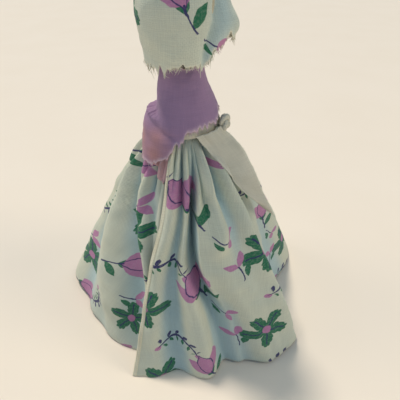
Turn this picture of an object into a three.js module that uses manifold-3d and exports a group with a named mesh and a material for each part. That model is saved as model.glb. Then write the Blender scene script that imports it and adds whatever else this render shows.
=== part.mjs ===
// A small wrapped cloth doll that stands on a rolled column of cloth. It wears an undershirt, a gathered
// wrap skirt that laps at the side seen first, a lilac bodice over a knotted sash, and a printed kerchief.
// Millimetres, +Z up. The origin is the middle of the column's foot, and -Y is the side where the skirt laps.
import * as THREE from "three";
import { mergeVertices } from "three/addons/utils/BufferGeometryUtils.js";
import Module from "manifold-3d";

const wasm = await Module();
wasm.setup();

// Driving dimensions: cloth, thread and the gaps between layers.
const CLOTH = 0.6;
const CLEARANCE = 0.35;
const THREAD = 0.6;
const THREAD_TURNS = 3;
const GATHER_DEPTH = 0.2;
const GATHERS = 26;

// Driving dimensions: the rolled column and what is wrapped on it. The skirt's top is the height that the
// other heights are set from.
const SKIRT_TOP_Z = 76.6;
const CORE_RADIUS = 4;
const NECK_RADIUS = 2.6;
const FOOT_CHAMFER = 0.6;
const SHOULDER_RISE = 3.4;
const NECK_RISE = 14.4;
const NECK_STUB = 3;
const FOOT_TIE_Z = 8;
const UNDERSHIRT_HEM_Z = 14;
const UNDERSHIRT_RISE = 1.9;
const UNDERSHIRT_FLARE = 1.6;

// Driving dimensions: the skirt. A fold is a list of azimuths in degrees and a list of depths, both at the
// levels below the waist, which are shares of the way down. Azimuth 0 is -Y and 90 is +X. The cloth starts at
// its free outer edge and ends under that edge. A depth of 1 stands a whole fold depth outside the flare.
const SKIRT_BAND = 5;
const SKIRT_HEM_RADIUS = 38;
const SKIRT_FOLD_DEPTH = 10;
const SKIRT_HEM_LIFT = 2.5;
const SKIRT_LEVELS = [0, 0.1, 0.25, 0.45, 0.7, 1];
const SKIRT_FOLDS = [
  [[-22, -21, -25, -26, -27], [0, -0.02, -0.02, 0.01, 0.03]],
  [[-16, -12, -20, -21, -20], [0.11, 0.15, 0.06, 0.02, -0.1]],
  [[-1, -2, -8, -9, -4], [-0.14, -0.2, -0.34, -0.5, -0.58]],
  [[7, 3, -1, 8, 12], [0.12, 0.17, 0.14, 0.14, -0.2]],
  [[15, 10.5, 9, 19, 23], [-0.26, -0.6, -0.7, -0.64, -0.62]],
  [[19, 13, 12.5, 27, 32], [0.04, 0.06, 0.06, -0.2, -0.29]],
  [[28, 26, 28, 38, 45], [0.24, 0.34, 0.34, 0.26, 0.37]],
  [[36, 39, 40, 46, 50], [-0.1, 0.04, 0.3, 0.34, 0.46]],
  [[48, 51, 52, 57, 60], [0.18, 0.34, 0.46, 0.56, 0.62]],
  [[56, 61, 64, 69, 73], [-0.24, -0.5, -0.65, -0.7, -0.64]],
  [[72, 82, 87, 90, 92], [-0.02, -0.22, -0.32, -0.4, -0.4]],
  [[100, 108, 114, 119, 122], [0.05, 0.18, 0.4, 0.8, 1.3]],
  [[135, 141, 145, 147, 148], [-0.06, -0.14, -0.2, -0.22, -0.18]],
  [[165, 170, 173, 175, 176], [0.06, 0.16, 0.32, 0.54, 0.8]],
  [[195, 200, 203, 204, 205], [-0.06, -0.14, -0.2, -0.24, -0.24]],
  [[220, 225, 227, 229, 230], [0.05, 0.14, 0.28, 0.48, 0.7]],
  [[232, 238, 241, 243, 244], [-0.04, -0.04, 0.02, 0.2, 0.44]],
  [[245, 251, 255, 257, 258], [0.05, 0.18, 0.36, 0.64, 1]],
  [[258, 264, 268, 273, 280], [-0.06, -0.02, 0.02, 0.02, 0.04]],
  [[268, 276, 284, 294, 302], [0.08, 0.09, 0.18, 0.1, -0.4]],
  [[282, 290, 314, 324, 331], [-0.26, -0.46, -0.4, -0.54, -0.74]],
  [[303, 314, 328, 334, 339], [0.12, 0.22, 0.16, -0.3, -0.7]],
  [[316, 325, 334, 344, 350], [-0.08, -0.09, -0.1, -0.55, -0.92]],
  [[328, 333, 338, 349, 354], [0.02, 0.02, -0.12, -0.64, -0.94]],
  [[344, 346, 347, 356, 361], [-0.05, -0.16, -0.44, -0.76, -0.96]],
  [[362, 362, 361, 364, 368], [-0.09, -0.22, -0.48, -0.76, -0.94]],
];
// How the cloth falls between the folds is [azimuth in degrees, lift, swell]. A lift of 1 is the whole hem
// lift, and a swell of 1 falls straight from waist to hem, where a smaller one bellies out.
const SKIRT_FALL = [
  [-27, 0, 0.84], [0, 0, 0.84], [20, 0.24, 0.84], [43, 0, 0.76], [61, 0, 0.68], [88, 0.48, 0.6],
  [117, 0, 0.6], [147, 0.32, 0.68], [176, 0, 0.72], [205, 0.32, 0.72], [230, 0, 0.7], [258, 1, 0.68],
  [280, 0.48, 0.72], [304, 0.16, 0.86], [326, 0, 0.92], [347, 0.2, 0.92], [368, 0, 0.92],
];

// Driving dimensions: the sash, its knot and its two tails. A tail's azimuths are in degrees.
const SASH_HEIGHT = 3.4;
const SASH_WIDTH = 9;
const SASH_TAIL_DROP = 3.7;
const KNOT_RADIUS = 1.15;
const KNOT_STRAND = 0.48;
const SASH_KNOT_AZIMUTH = 80;
const FRONT_TAIL_AZIMUTH = 48;
const FRONT_TAIL_TURN = 33;
const FRONT_TAIL_LENGTH = 28;
const BACK_TAIL_AZIMUTH = 116;
const BACK_TAIL_TURN = 12;
const BACK_TAIL_LENGTH = 24;

// Driving dimensions: the bodice. An edge point is [azimuth in degrees, share of the dip below the waist].
const BODICE_NECK_DROP = 1.8;
const BODICE_NECK_RADIUS = 5.3;
const BODICE_EASE = 0.5;
const BODICE_STEP = 3;
const BODICE_PEPLUM = 0.27;
const BODICE_DIP = 11;
const BODICE_EDGE = [
  [-180, 0.42], [-125, 0.46], [-72, 0.87], [-46, 1], [-13, 0.6], [15, 0.36], [40, 0.27], [64, 0.2],
  [80, -0.11], [112, -0.04], [150, 0.33], [180, 0.42],
];

// Driving dimensions: the head, its cover and its kerchief.
const HEAD_RISE = 10;
const HEAD_RADIUS = 8.8;
const HEAD_HALF_HEIGHT = 10.4;
const NECK_SWING_ROOM = 0.55;
const NECK_NOD_ROOM = 1.3;
const KERCHIEF_SLACK = 0.5;
const KERCHIEF_DROP = 11.2;
const KERCHIEF_HEM_RADIUS = 9;
const KERCHIEF_FALL = 2;
const FACE_WIDTH = 12.5;
const FACE_HEIGHT = 13.5;
const FACE_RISE = 0.5;
const CORNER_REACH = 13.6;
const CORNER_DROP = 3.2;
const CORNER_RISE = 5.6;
const CORNER_CUT_X = 5.8;
const CORNER_THICKNESS = 1.4;
const KERCHIEF_END_LENGTH = 4.6;
const KERCHIEF_END_WIDTH = 2.4;

// How finely round things are faceted.
const ROUND_STEPS = 24;
const SKIRT_STEP = 7;
const SKIRT_ROWS = 13;
const BODICE_STEPS = 44;
const BODICE_ROWS = 12;

// Heights, from the skirt's top upwards.
const undershirtTopZ = SKIRT_TOP_Z + UNDERSHIRT_RISE;
const shoulderZ = SKIRT_TOP_Z + SHOULDER_RISE;
const neckZ = SKIRT_TOP_Z + NECK_RISE;
const bodiceTopZ = neckZ - BODICE_NECK_DROP;
const headZ = neckZ + HEAD_RISE;
const kerchiefHemZ = headZ - KERCHIEF_DROP;
const kerchiefFallZ = headZ - KERCHIEF_FALL;
const cornerZ = headZ - CORNER_DROP;

// Layers at the waist, from the column outwards.
const undershirtInner = CORE_RADIUS + CLEARANCE;
const undershirtOuter = undershirtInner + CLOTH;
const lapStep = CLOTH + CLEARANCE;
const skirtUnder = undershirtOuter + CLEARANCE + GATHER_DEPTH + CLOTH / 2;
const skirtStart = SKIRT_FOLDS[0][0].at(-1);
const skirtTurns = (SKIRT_FOLDS.at(-1)[0].at(-1) - skirtStart) / 360;
const skirtOuter = skirtUnder + lapStep * skirtTurns + GATHER_DEPTH + CLOTH / 2;
const skirtTieInner = skirtOuter + CLEARANCE;
const sashInner = skirtTieInner + THREAD + CLEARANCE;
const sashOuter = sashInner + CLOTH;
const sashMiddleZ = SKIRT_TOP_Z - SKIRT_BAND / 2;
const bodiceWaist = sashOuter + CLEARANCE + CLOTH / 2;

// Layers at the neck and head, from the column outwards.
const coverNeckInner = NECK_RADIUS + CLEARANCE + NECK_SWING_ROOM;
const coverNeckOuter = coverNeckInner + CLOTH;
const neckTieInner = coverNeckOuter + NECK_SWING_ROOM;
const coverGap = CLEARANCE + CLOTH;
const kerchiefGap = coverGap + KERCHIEF_SLACK + CLOTH;

const degrees = THREE.MathUtils.degToRad;

// A point at an azimuth about the doll's axis.
function around(azimuth, radius, z) {
  return new THREE.Vector3(radius * Math.sin(azimuth), -radius * Math.cos(azimuth), z);
}

// Cloth runs smoothly between the points of a list, level at each one, as folds and cut edges do.
function smoothly(points, at, column) {
  const next = points.findIndex((p) => p[0] >= at);
  if (next === 0) return points[0][column];
  if (next < 0) return points.at(-1)[column];
  const [a, b] = [points[next - 1], points[next]];
  const share = (1 - Math.cos((Math.PI * (at - a[0])) / (b[0] - a[0]))) / 2;
  return a[column] + (b[column] - a[column]) * share;
}

// The enclosed volume, negative where the faces point inwards.
function signedVolume(position, faces) {
  const [a, b, c] = [new THREE.Vector3(), new THREE.Vector3(), new THREE.Vector3()];
  let sum = 0;
  for (let i = 0; i < faces.length; i += 3) {
    a.fromBufferAttribute(position, faces[i]);
    b.fromBufferAttribute(position, faces[i + 1]);
    c.fromBufferAttribute(position, faces[i + 2]);
    sum += a.dot(b.cross(c)) / 6;
  }
  return sum;
}

// The same closed surface with only positions, shared vertices merged and its faces pointing out.
function closedSurface(geometry) {
  const bare = new THREE.BufferGeometry().setAttribute("position", geometry.getAttribute("position"));
  if (geometry.index) bare.setIndex(geometry.index);
  const merged = mergeVertices(bare, 1e-4);
  const faces = Array.from(merged.index.array);
  const whole = [];
  for (let i = 0; i < faces.length; i += 3) {
    const [a, b, c] = faces.slice(i, i + 3);
    if (a !== b && b !== c && c !== a) whole.push(a, b, c);
  }
  if (signedVolume(merged.getAttribute("position"), whole) < 0) whole.reverse();
  return merged.setIndex(whole);
}

// A solid of revolution about the doll's axis from a closed profile of [radius, z] points.
function turned(profile) {
  const points = [...profile, profile[0]].map(([r, z]) => new THREE.Vector2(Math.max(r, 0), z));
  return closedSurface(new THREE.LatheGeometry(points, ROUND_STEPS).rotateX(Math.PI / 2));
}

// A sheet of cloth with its real thickness. place(u, v) is its middle surface, and rounded says that it
// closes on itself along u.
function clothSheet(place, across, along, rounded) {
  const columns = rounded ? across : across + 1;
  const rows = along + 1;
  const step = 1e-3;
  const positions = [];
  for (const side of [1, -1]) {
    for (let i = 0; i < columns; i++) {
      for (let j = 0; j < rows; j++) {
        const [u, v] = [i / across, j / along];
        const acrossWay = place(u + step, v).sub(place(u - step, v));
        const alongWay = place(u, v + step).sub(place(u, v - step));
        const normal = acrossWay.cross(alongWay).normalize();
        positions.push(...place(u, v).addScaledVector(normal, (side * CLOTH) / 2).toArray());
      }
    }
  }
  const at = (side, i, j) => (side * columns + (i % columns)) * rows + j;
  const faces = [];
  const quad = (a, b, c, d) => faces.push(a, b, c, a, c, d);
  for (let i = 0; i < across; i++) {
    for (let j = 0; j < along; j++) {
      quad(at(0, i, j), at(0, i + 1, j), at(0, i + 1, j + 1), at(0, i, j + 1));
      quad(at(1, i, j), at(1, i, j + 1), at(1, i + 1, j + 1), at(1, i + 1, j));
    }
    quad(at(0, i, 0), at(1, i, 0), at(1, i + 1, 0), at(0, i + 1, 0));
    quad(at(0, i, along), at(0, i + 1, along), at(1, i + 1, along), at(1, i, along));
  }
  for (let j = 0; j < along && !rounded; j++) {
    quad(at(0, 0, j), at(0, 0, j + 1), at(1, 0, j + 1), at(1, 0, j));
    quad(at(0, across, j), at(1, across, j), at(1, across, j + 1), at(0, across, j + 1));
  }
  const geometry = new THREE.BufferGeometry();
  geometry.setAttribute("position", new THREE.Float32BufferAttribute(positions, 3)).setIndex(faces);
  return closedSurface(geometry);
}

// A closed geometry as a manifold solid, and a manifold solid as a geometry.
function toSolid(geometry) {
  const closed = closedSurface(geometry);
  return new wasm.Manifold(
    new wasm.Mesh({
      numProp: 3,
      vertProperties: new Float32Array(closed.getAttribute("position").array),
      triVerts: new Uint32Array(closed.index.array),
    }),
  );
}

function toGeometry(solid) {
  const mesh = solid.getMesh();
  const geometry = new THREE.BufferGeometry();
  geometry.setAttribute("position", new THREE.BufferAttribute(mesh.vertProperties, 3));
  return geometry.setIndex(new THREE.BufferAttribute(mesh.triVerts, 1));
}

const doll = new THREE.Group();

// Finishes of the real pieces.
const finish = (color, roughness) => new THREE.MeshStandardMaterial({ color, roughness, metalness: 0 });
const printedCotton = finish(0xb3c2b0, 0.9);
const lilacCotton = finish(0x86698a, 0.92);
const plainCotton = finish(0xb9b6a4, 0.92);
const muslin = finish(0xd9cfb8, 0.93);
const wadding = finish(0xe9e4d8, 0.98);
const bindingThread = finish(0xcfc6ae, 0.85);

function add(name, geometry, material) {
  const piece = new THREE.Mesh(geometry, material);
  piece.name = name;
  doll.add(piece);
  return piece;
}

// Turns of thread wound tightly side by side, from their inner radius.
function windings(innerRadius, middleZ) {
  const profile = [];
  const low = middleZ - (THREAD_TURNS * THREAD) / 2;
  const bulge = [[0, 0], [0.25, 0.85], [0.5, 1], [0.75, 0.85]];
  const valley = THREAD * 0.35;
  for (let turn = 0; turn < THREAD_TURNS; turn++) {
    for (const [along, out] of bulge) {
      profile.push([innerRadius + valley + (THREAD - valley) * out, low + THREAD * (turn + along)]);
    }
  }
  profile.push([innerRadius + valley, low + THREAD * THREAD_TURNS]);
  profile.push([innerRadius, low + THREAD * THREAD_TURNS], [innerRadius, low]);
  return turned(profile);
}

// Column: a strip of cotton rolled tight, flat at the foot and drawn in to a neck.
const stubTopZ = neckZ + NECK_STUB;
const neckDrawZ = shoulderZ + 2 * (CORE_RADIUS - NECK_RADIUS);
add(
  "core_roll",
  turned([
    [0, 0], [CORE_RADIUS - FOOT_CHAMFER, 0], [CORE_RADIUS, FOOT_CHAMFER], [CORE_RADIUS, shoulderZ],
    [(CORE_RADIUS + NECK_RADIUS) / 2, (shoulderZ + neckDrawZ) / 2], [NECK_RADIUS, neckDrawZ],
    [NECK_RADIUS, stubTopZ - FOOT_CHAMFER], [NECK_RADIUS - FOOT_CHAMFER, stubTopZ], [0, stubTopZ],
  ]),
  muslin,
);
add("core_foot_tie", windings(CORE_RADIUS + CLEARANCE, FOOT_TIE_Z), bindingThread);

// Undershirt: plain cotton wrapped on the column, a little wider at its hem, tied above the skirt.
const undershirtWaistZ = SKIRT_TOP_Z - SKIRT_BAND;
add(
  "undershirt",
  turned([
    [undershirtInner + UNDERSHIRT_FLARE, UNDERSHIRT_HEM_Z],
    [undershirtOuter + UNDERSHIRT_FLARE, UNDERSHIRT_HEM_Z],
    [undershirtOuter, undershirtWaistZ], [undershirtOuter, undershirtTopZ],
    [undershirtInner, undershirtTopZ], [undershirtInner, undershirtWaistZ],
  ]),
  muslin,
);
const undershirtTieZ = undershirtTopZ - (THREAD_TURNS * THREAD) / 2;
add("undershirt_tie", windings(undershirtOuter + CLEARANCE, undershirtTieZ), bindingThread);

// Skirt: one width of printed cotton, gathered into the waist and lapped. u runs along the width from the
// free outer edge, and v from the waist to the hem. Its columns of faces run down along the folds.
const foldCurves = SKIRT_FOLDS.map(([lines, depths]) =>
  [[lines[0], ...lines], [0, ...depths]].map((values) => new THREE.CubicInterpolant(SKIRT_LEVELS, values, 1, [0])),
);
const foldsAt = (fallen) => foldCurves.map((curves) => curves.map((curve) => curve.evaluate(fallen)[0]));
const bandLowZ = SKIRT_TOP_Z - SKIRT_BAND;
const fallenTo = (z) => Math.max(0, (bandLowZ - z) / bandLowZ);
function skirtRadius(azimuth, fallen) {
  const waist = skirtUnder + lapStep * (skirtTurns - (azimuth - skirtStart) / 360);
  const gather = GATHER_DEPTH * Math.cos(degrees(azimuth) * GATHERS) * Math.max(0, 1 - 4 * fallen);
  const flare = (SKIRT_HEM_RADIUS - waist) * fallen ** smoothly(SKIRT_FALL, azimuth, 2);
  return waist + gather + flare + SKIRT_FOLD_DEPTH * smoothly(foldsAt(fallen), azimuth, 1);
}
const columnFolds = SKIRT_FOLDS.slice(1).flatMap(([lines], fold) => {
  const widest = Math.max(...lines.map((azimuth, level) => azimuth - SKIRT_FOLDS[fold][0][level]));
  const steps = Math.max(2, Math.ceil(widest / SKIRT_STEP));
  return Array.from({ length: steps }, (_, step) => [fold, step / steps, 1 / steps]);
});
const bandShare = 1 / SKIRT_ROWS;
function skirtPlace(u, v) {
  const fallen = Math.max(0, (v - bandShare) / (1 - bandShare));
  const column = THREE.MathUtils.clamp(Math.floor(u * columnFolds.length), 0, columnFolds.length - 1);
  const [fold, start, step] = columnFolds[column];
  const [from, to] = foldsAt(fallen).slice(fold, fold + 2).map(([azimuth]) => azimuth);
  const azimuth = from + (to - from) * (start + step * (u * columnFolds.length - column));
  const lift = SKIRT_HEM_LIFT * smoothly(SKIRT_FALL, azimuth, 1);
  const z = fallen > 0 ? bandLowZ - (bandLowZ - lift) * fallen : SKIRT_TOP_Z - (SKIRT_BAND * v) / bandShare;
  return around(degrees(azimuth), skirtRadius(azimuth, fallen), z);
}
add("skirt", clothSheet(skirtPlace, columnFolds.length, SKIRT_ROWS, false), printedCotton);
add("skirt_tie", windings(skirtTieInner, sashMiddleZ), bindingThread);

// Sash: a plain strip tied round the gathers, with its knot and two loose tails.
add(
  "sash_band",
  turned([
    [sashInner, sashMiddleZ - SASH_HEIGHT / 2], [sashOuter, sashMiddleZ - SASH_HEIGHT / 2],
    [sashOuter + CLOTH / 4, sashMiddleZ], [sashOuter, sashMiddleZ + SASH_HEIGHT / 2],
    [sashInner, sashMiddleZ + SASH_HEIGHT / 2],
  ]),
  plainCotton,
);
const knotReach = 1.5 * KNOT_RADIUS + KNOT_STRAND;
const knotDepth = 0.5 * KNOT_RADIUS + KNOT_STRAND;
function tiedKnot() {
  return new THREE.TorusKnotGeometry(KNOT_RADIUS, KNOT_STRAND, 42, 6, 2, 3).rotateX(Math.PI / 2);
}
const knotPlace = around(
  degrees(SASH_KNOT_AZIMUTH),
  sashOuter + CLOTH / 4 + CLEARANCE + knotDepth,
  sashMiddleZ + CLOTH,
);
const sashKnot = add("sash_knot", tiedKnot(), plainCotton);
sashKnot.position.copy(knotPlace);
sashKnot.rotation.z = degrees(SASH_KNOT_AZIMUTH);

// A tail comes out over the lower half of the band and lies on the skirt: each cross line of it clears the
// highest fold under it.
const tailRootRadius = sashOuter + CLOTH / 4 + CLEARANCE + CLOTH / 2;
function tailPlace(azimuth, turn, length) {
  return (u, v) => {
    const z = SKIRT_TOP_Z - SASH_TAIL_DROP - v * length;
    const middle = azimuth + turn * (1 - (1 - v) ** 2);
    const reach = Math.max(skirtRadius(middle, fallenTo(z)), tailRootRadius);
    const half = THREE.MathUtils.radToDeg(SASH_WIDTH / 2 / reach);
    const under = Array.from({ length: 13 }, (_, i) => skirtRadius(middle + (i / 6 - 1) * half, fallenTo(z)));
    const onSkirt = Math.max(...under) + CLEARANCE + 1.5 * CLOTH;
    const radius = Math.max(onSkirt, tailRootRadius);
    return around(degrees(middle + (2 * u - 1) * half), radius, z);
  };
}
const frontTail = tailPlace(FRONT_TAIL_AZIMUTH, FRONT_TAIL_TURN, FRONT_TAIL_LENGTH);
add("sash_tail_front", clothSheet(frontTail, 6, 10, false), plainCotton);
const backTail = tailPlace(BACK_TAIL_AZIMUTH, BACK_TAIL_TURN, BACK_TAIL_LENGTH);
add("sash_tail_back", clothSheet(backTail, 6, 8, false), plainCotton);

// Padding: a roll of wadding round the column that fills out the bodice above the skirt.
const paddingLowZ = undershirtTopZ + CLEARANCE;
const bustRadius = undershirtOuter + CLEARANCE + THREAD + CLEARANCE + BODICE_EASE + CLOTH / 2;
const waistZ = sashMiddleZ + SASH_HEIGHT / 2 + CLOTH;
const bustZ = waistZ + BODICE_STEP;
function bodiceRadius(z) {
  const chest = bustRadius + ((BODICE_NECK_RADIUS - bustRadius) * (z - bustZ)) / (bodiceTopZ - bustZ);
  const step = bustRadius + ((bodiceWaist - bustRadius) * (bustZ - z)) / (bustZ - waistZ);
  const peplum = bodiceWaist + BODICE_PEPLUM * (waistZ - z);
  if (z > bustZ) return chest;
  return z > waistZ ? step : peplum;
}
const paddingTopZ = neckDrawZ;
const paddingOuter = (z) => bodiceRadius(z) - CLOTH - CLEARANCE;
add(
  "bust_padding",
  turned([
    [CORE_RADIUS + CLEARANCE, paddingLowZ], [paddingOuter(paddingLowZ), paddingLowZ],
    [paddingOuter(paddingTopZ), paddingTopZ], [NECK_RADIUS + CLEARANCE, paddingTopZ],
    [CORE_RADIUS + CLEARANCE, shoulderZ + CLEARANCE],
  ]),
  wadding,
);

// Bodice: lilac cotton wrapped from the neck down over the sash, with a raw edge that dips on one side.
function bodicePlace(u, v) {
  const azimuth = 360 * (u - Math.floor(u)) - 180;
  const edgeZ = SKIRT_TOP_Z - BODICE_DIP * smoothly(BODICE_EDGE, azimuth, 1);
  const z = bodiceTopZ - v * (bodiceTopZ - edgeZ);
  return around(degrees(azimuth), bodiceRadius(z), z);
}
add("bodice", clothSheet(bodicePlace, BODICE_STEPS, BODICE_ROWS, true), lilacCotton);

// Neck: the thread that ties the head's cover onto the column.
add("neck_tie", windings(neckTieInner, neckZ), bindingThread);

// Head: a ball of wadding with a socket for the neck, inside a muslin cover.
function headProfile(gap, fromZ) {
  const [wide, tall] = [HEAD_RADIUS + gap, HEAD_HALF_HEIGHT + gap];
  const start = Math.asin(Math.max(-1, (fromZ - headZ) / tall));
  const steps = 9;
  return Array.from({ length: steps + 1 }, (_, i) => {
    const angle = start + ((Math.PI / 2 - start) * i) / steps;
    return [wide * Math.cos(angle), headZ + tall * Math.sin(angle)];
  });
}
const socketTopZ = stubTopZ + CLEARANCE + NECK_SWING_ROOM;
const neckTieTopZ = neckZ + (THREAD_TURNS * THREAD) / 2;
const ballLowZ = neckTieTopZ + NECK_NOD_ROOM + coverGap + 2 * CLEARANCE;
add(
  "head_wadding",
  turned([
    [0, socketTopZ], [coverNeckInner, socketTopZ], [coverNeckInner, ballLowZ], ...headProfile(0, ballLowZ),
  ]),
  wadding,
);
const coverHemZ = bodiceTopZ + CLEARANCE;
const coverFlareZ = ballLowZ - CLEARANCE;
add(
  "head_cover",
  turned([
    ...headProfile(CLEARANCE, coverFlareZ).reverse(), [coverNeckInner, coverFlareZ - CLEARANCE],
    [coverNeckInner, coverHemZ], [coverNeckOuter, coverHemZ], [coverNeckOuter, coverFlareZ - coverGap],
    ...headProfile(coverGap, coverFlareZ - CLOTH / 2),
  ]),
  muslin,
);

// Kerchief: a square of printed cotton over the head, open at the face, with one corner folded out at the
// side and two corners tied under the chin. Below the folded corner its edge runs up from the hem.
const kerchiefInner = headProfile(kerchiefGap - CLOTH, kerchiefFallZ);
const kerchiefShell = toSolid(
  turned([
    ...kerchiefInner.reverse(), [KERCHIEF_HEM_RADIUS - CLOTH, kerchiefHemZ],
    [KERCHIEF_HEM_RADIUS, kerchiefHemZ], ...headProfile(kerchiefGap, kerchiefFallZ),
  ]),
);
const headReach = HEAD_RADIUS + kerchiefGap + CLOTH;
const faceCutter = new THREE.CylinderGeometry(FACE_WIDTH / 2, FACE_WIDTH / 2, headReach, ROUND_STEPS);
faceCutter.scale(1, 1, FACE_HEIGHT / FACE_WIDTH);
faceCutter.translate(0, headReach / 2 + CORE_RADIUS / 2, headZ + FACE_RISE);
function upright(outline, depth) {
  const shape = new THREE.Shape(outline.map(([x, z]) => new THREE.Vector2(x, z)));
  const slab = new THREE.ExtrudeGeometry(shape, { depth, bevelEnabled: false });
  return toSolid(slab.rotateX(Math.PI / 2).translate(0, depth / 2, 0));
}
const cornerRootX = HEAD_RADIUS + kerchiefGap - CLOTH;
const cornerSlope = (cornerZ - kerchiefHemZ) / (CORNER_REACH - CORNER_CUT_X);
const cornerRootZ = kerchiefHemZ + cornerSlope * (cornerRootX - CORNER_CUT_X);
const corner = upright(
  [
    [cornerRootX, cornerZ + CORNER_RISE], [CORNER_REACH, cornerZ], [cornerRootX, cornerRootZ],
    [cornerRootX - CLOTH / 3, cornerRootZ], [cornerRootX - CLOTH / 3, cornerZ + CORNER_RISE],
  ],
  CORNER_THICKNESS,
);
const cornerCut = upright(
  [
    [CORNER_CUT_X, kerchiefHemZ], [CORNER_REACH, cornerZ], [2 * headReach, cornerZ],
    [2 * headReach, kerchiefHemZ - CLOTH], [CORNER_CUT_X, kerchiefHemZ - CLOTH],
  ],
  KERCHIEF_HEM_RADIUS * 1.5,
);
const kerchief = kerchiefShell.subtract(toSolid(faceCutter)).add(corner).subtract(cornerCut);
add("kerchief", toGeometry(kerchief), printedCotton);

// The chin knot, with its two short ends.
const chinZ = kerchiefHemZ + CLOTH;
const fallSlope = (HEAD_RADIUS + kerchiefGap - KERCHIEF_HEM_RADIUS) / (kerchiefFallZ - kerchiefHemZ);
const chinY = KERCHIEF_HEM_RADIUS + fallSlope * (knotReach + CLOTH) + CLEARANCE + knotDepth;
const knotSolid = toSolid(tiedKnot());
const ends = [-1, 1].map((side) => {
  const end = new THREE.BoxGeometry(KERCHIEF_END_LENGTH, CLOTH, KERCHIEF_END_WIDTH);
  end.translate(side * (KERCHIEF_END_LENGTH / 2 + KNOT_RADIUS / 2), 0, 0);
  return toSolid(end.rotateZ(side * degrees(20)).rotateY(side * degrees(18)));
});
const chinKnot = add("kerchief_knot", toGeometry(knotSolid.add(ends[0]).add(ends[1])), printedCotton);
chinKnot.position.set(0, chinY, chinZ);

export default doll;
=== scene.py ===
import math

import bmesh
import bpy
import numpy as np
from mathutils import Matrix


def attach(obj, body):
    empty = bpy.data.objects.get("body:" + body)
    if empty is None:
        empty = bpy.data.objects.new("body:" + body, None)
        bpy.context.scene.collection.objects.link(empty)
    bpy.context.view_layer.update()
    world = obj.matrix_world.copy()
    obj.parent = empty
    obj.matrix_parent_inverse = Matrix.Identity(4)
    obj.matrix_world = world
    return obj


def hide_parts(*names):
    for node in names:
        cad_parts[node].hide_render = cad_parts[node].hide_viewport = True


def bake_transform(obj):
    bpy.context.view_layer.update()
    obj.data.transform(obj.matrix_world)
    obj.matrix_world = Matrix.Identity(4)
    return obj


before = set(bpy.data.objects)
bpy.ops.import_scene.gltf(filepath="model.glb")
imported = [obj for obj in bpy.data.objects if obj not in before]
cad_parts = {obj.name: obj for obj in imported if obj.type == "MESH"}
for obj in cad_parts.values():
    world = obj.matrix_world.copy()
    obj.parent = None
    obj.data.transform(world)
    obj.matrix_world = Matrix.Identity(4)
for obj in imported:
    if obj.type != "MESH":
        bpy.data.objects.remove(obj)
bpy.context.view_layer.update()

# Column. A strip of muslin rolled up tight into the doll's body and drawn in to a neck at the top.
# It stands on its rolled end, where the turns of the spiral show.
MM = 0.001
ROLL_TURNS = 5.2
ROLL_START, ROLL_RADIUS = 0.5, 3.8
ROLL_NECK = [(0, 1.0), (80, 1.0), (83, 0.66), (94, 0.62)]
ROLL_TOP = 94.0


def around(azimuth, radius, z):
    """Points at azimuths in degrees about the doll's axis: 0 is -Y and 90 is +X."""
    a = np.radians(azimuth)
    return np.stack(np.broadcast_arrays(radius * np.sin(a), -radius * np.cos(a), z), -1)


def paired(first, second):
    """Two arrays, spread out against each other, as pairs."""
    return np.stack(np.broadcast_arrays(first, second), -1)


def ripple(x, y, seed, size):
    """Smooth seeded unevenness from about -1 to 1, with bumps of a size in the units of x and y."""
    rng = np.random.default_rng(seed)
    total = 0.0
    for _ in range(9):
        turn, start = rng.uniform(0, 2 * np.pi, 2)
        wave = 2 * np.pi / (size * rng.uniform(0.7, 1.8))
        total = total + np.sin(wave * (x * np.cos(turn) + y * np.sin(turn)) + start)
    return total / 4.2


def new_piece(name, data):
    """An object in the scene."""
    piece = bpy.data.objects.new(name, data)
    bpy.context.collection.objects.link(piece)
    return piece


def lay_cloth(name, places, flat, thickness=0.3, raw=None, painted_light_mark=None, sewn=False):
    """A sheet of cloth from a grid of places in mm, its rows running upwards, with its flat cut as UV map.
    raw marks frayed cloth, painted_light_mark marks where light or shade is painted into its colour, and sewn joins the
    edges that meet."""
    across, along = places.shape[:2]
    index = np.arange(across * along).reshape(across, along)
    quads = np.stack([index[:-1, :-1], index[1:, :-1], index[1:, 1:], index[:-1, 1:]], -1).reshape(-1, 4)
    mesh = bpy.data.meshes.new(name)
    mesh.from_pydata((places.reshape(-1, 3) * MM).tolist(), [], quads.tolist())
    mesh.uv_layers.new(name="Flat").data.foreach_set("uv", flat.reshape(-1, 2)[quads.ravel()].ravel())
    for label, mark in (("Raw", raw), ("Fade", painted_light_mark)):
        if mark is not None:
            mark = np.broadcast_to(mark, (across, along)).ravel()
            mesh.attributes.new(label, "FLOAT", "POINT").data.foreach_set("value", mark)
    if sewn:
        edit = bmesh.new()
        edit.from_mesh(mesh)
        bmesh.ops.remove_doubles(edit, verts=edit.verts, dist=1e-3 * MM)
        edit.to_mesh(mesh)
        edit.free()
    mesh.shade_smooth()
    cloth = new_piece(name, mesh)
    if thickness:
        body = cloth.modifiers.new("Thickness", "SOLIDIFY")
        body.thickness = thickness * MM
        body.offset = 0
    return cloth


class Value:
    """What a node gives out. Plain arithmetic with it adds math nodes to its tree."""

    def __init__(self, socket):
        self.socket, self.tree = socket, socket.id_data

    def __add__(self, other):
        return calc("ADD", self, other)

    def __sub__(self, other):
        return calc("SUBTRACT", self, other)

    def __rsub__(self, other):
        return calc("SUBTRACT", other, self)

    def __mul__(self, other):
        return calc("MULTIPLY", self, other)

    def __truediv__(self, other):
        return calc("DIVIDE", self, other)

    def __rtruediv__(self, other):
        return calc("DIVIDE", other, self)

    def __mod__(self, other):
        return calc("MODULO", self, other)

    def __abs__(self):
        return calc("ABSOLUTE", self)


def feed(socket, value):
    """Links a socket to what a node gives out, or sets it to a plain value."""
    if isinstance(value, Value):
        value.tree.links.new(value.socket, socket)
    else:
        socket.default_value = value


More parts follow.
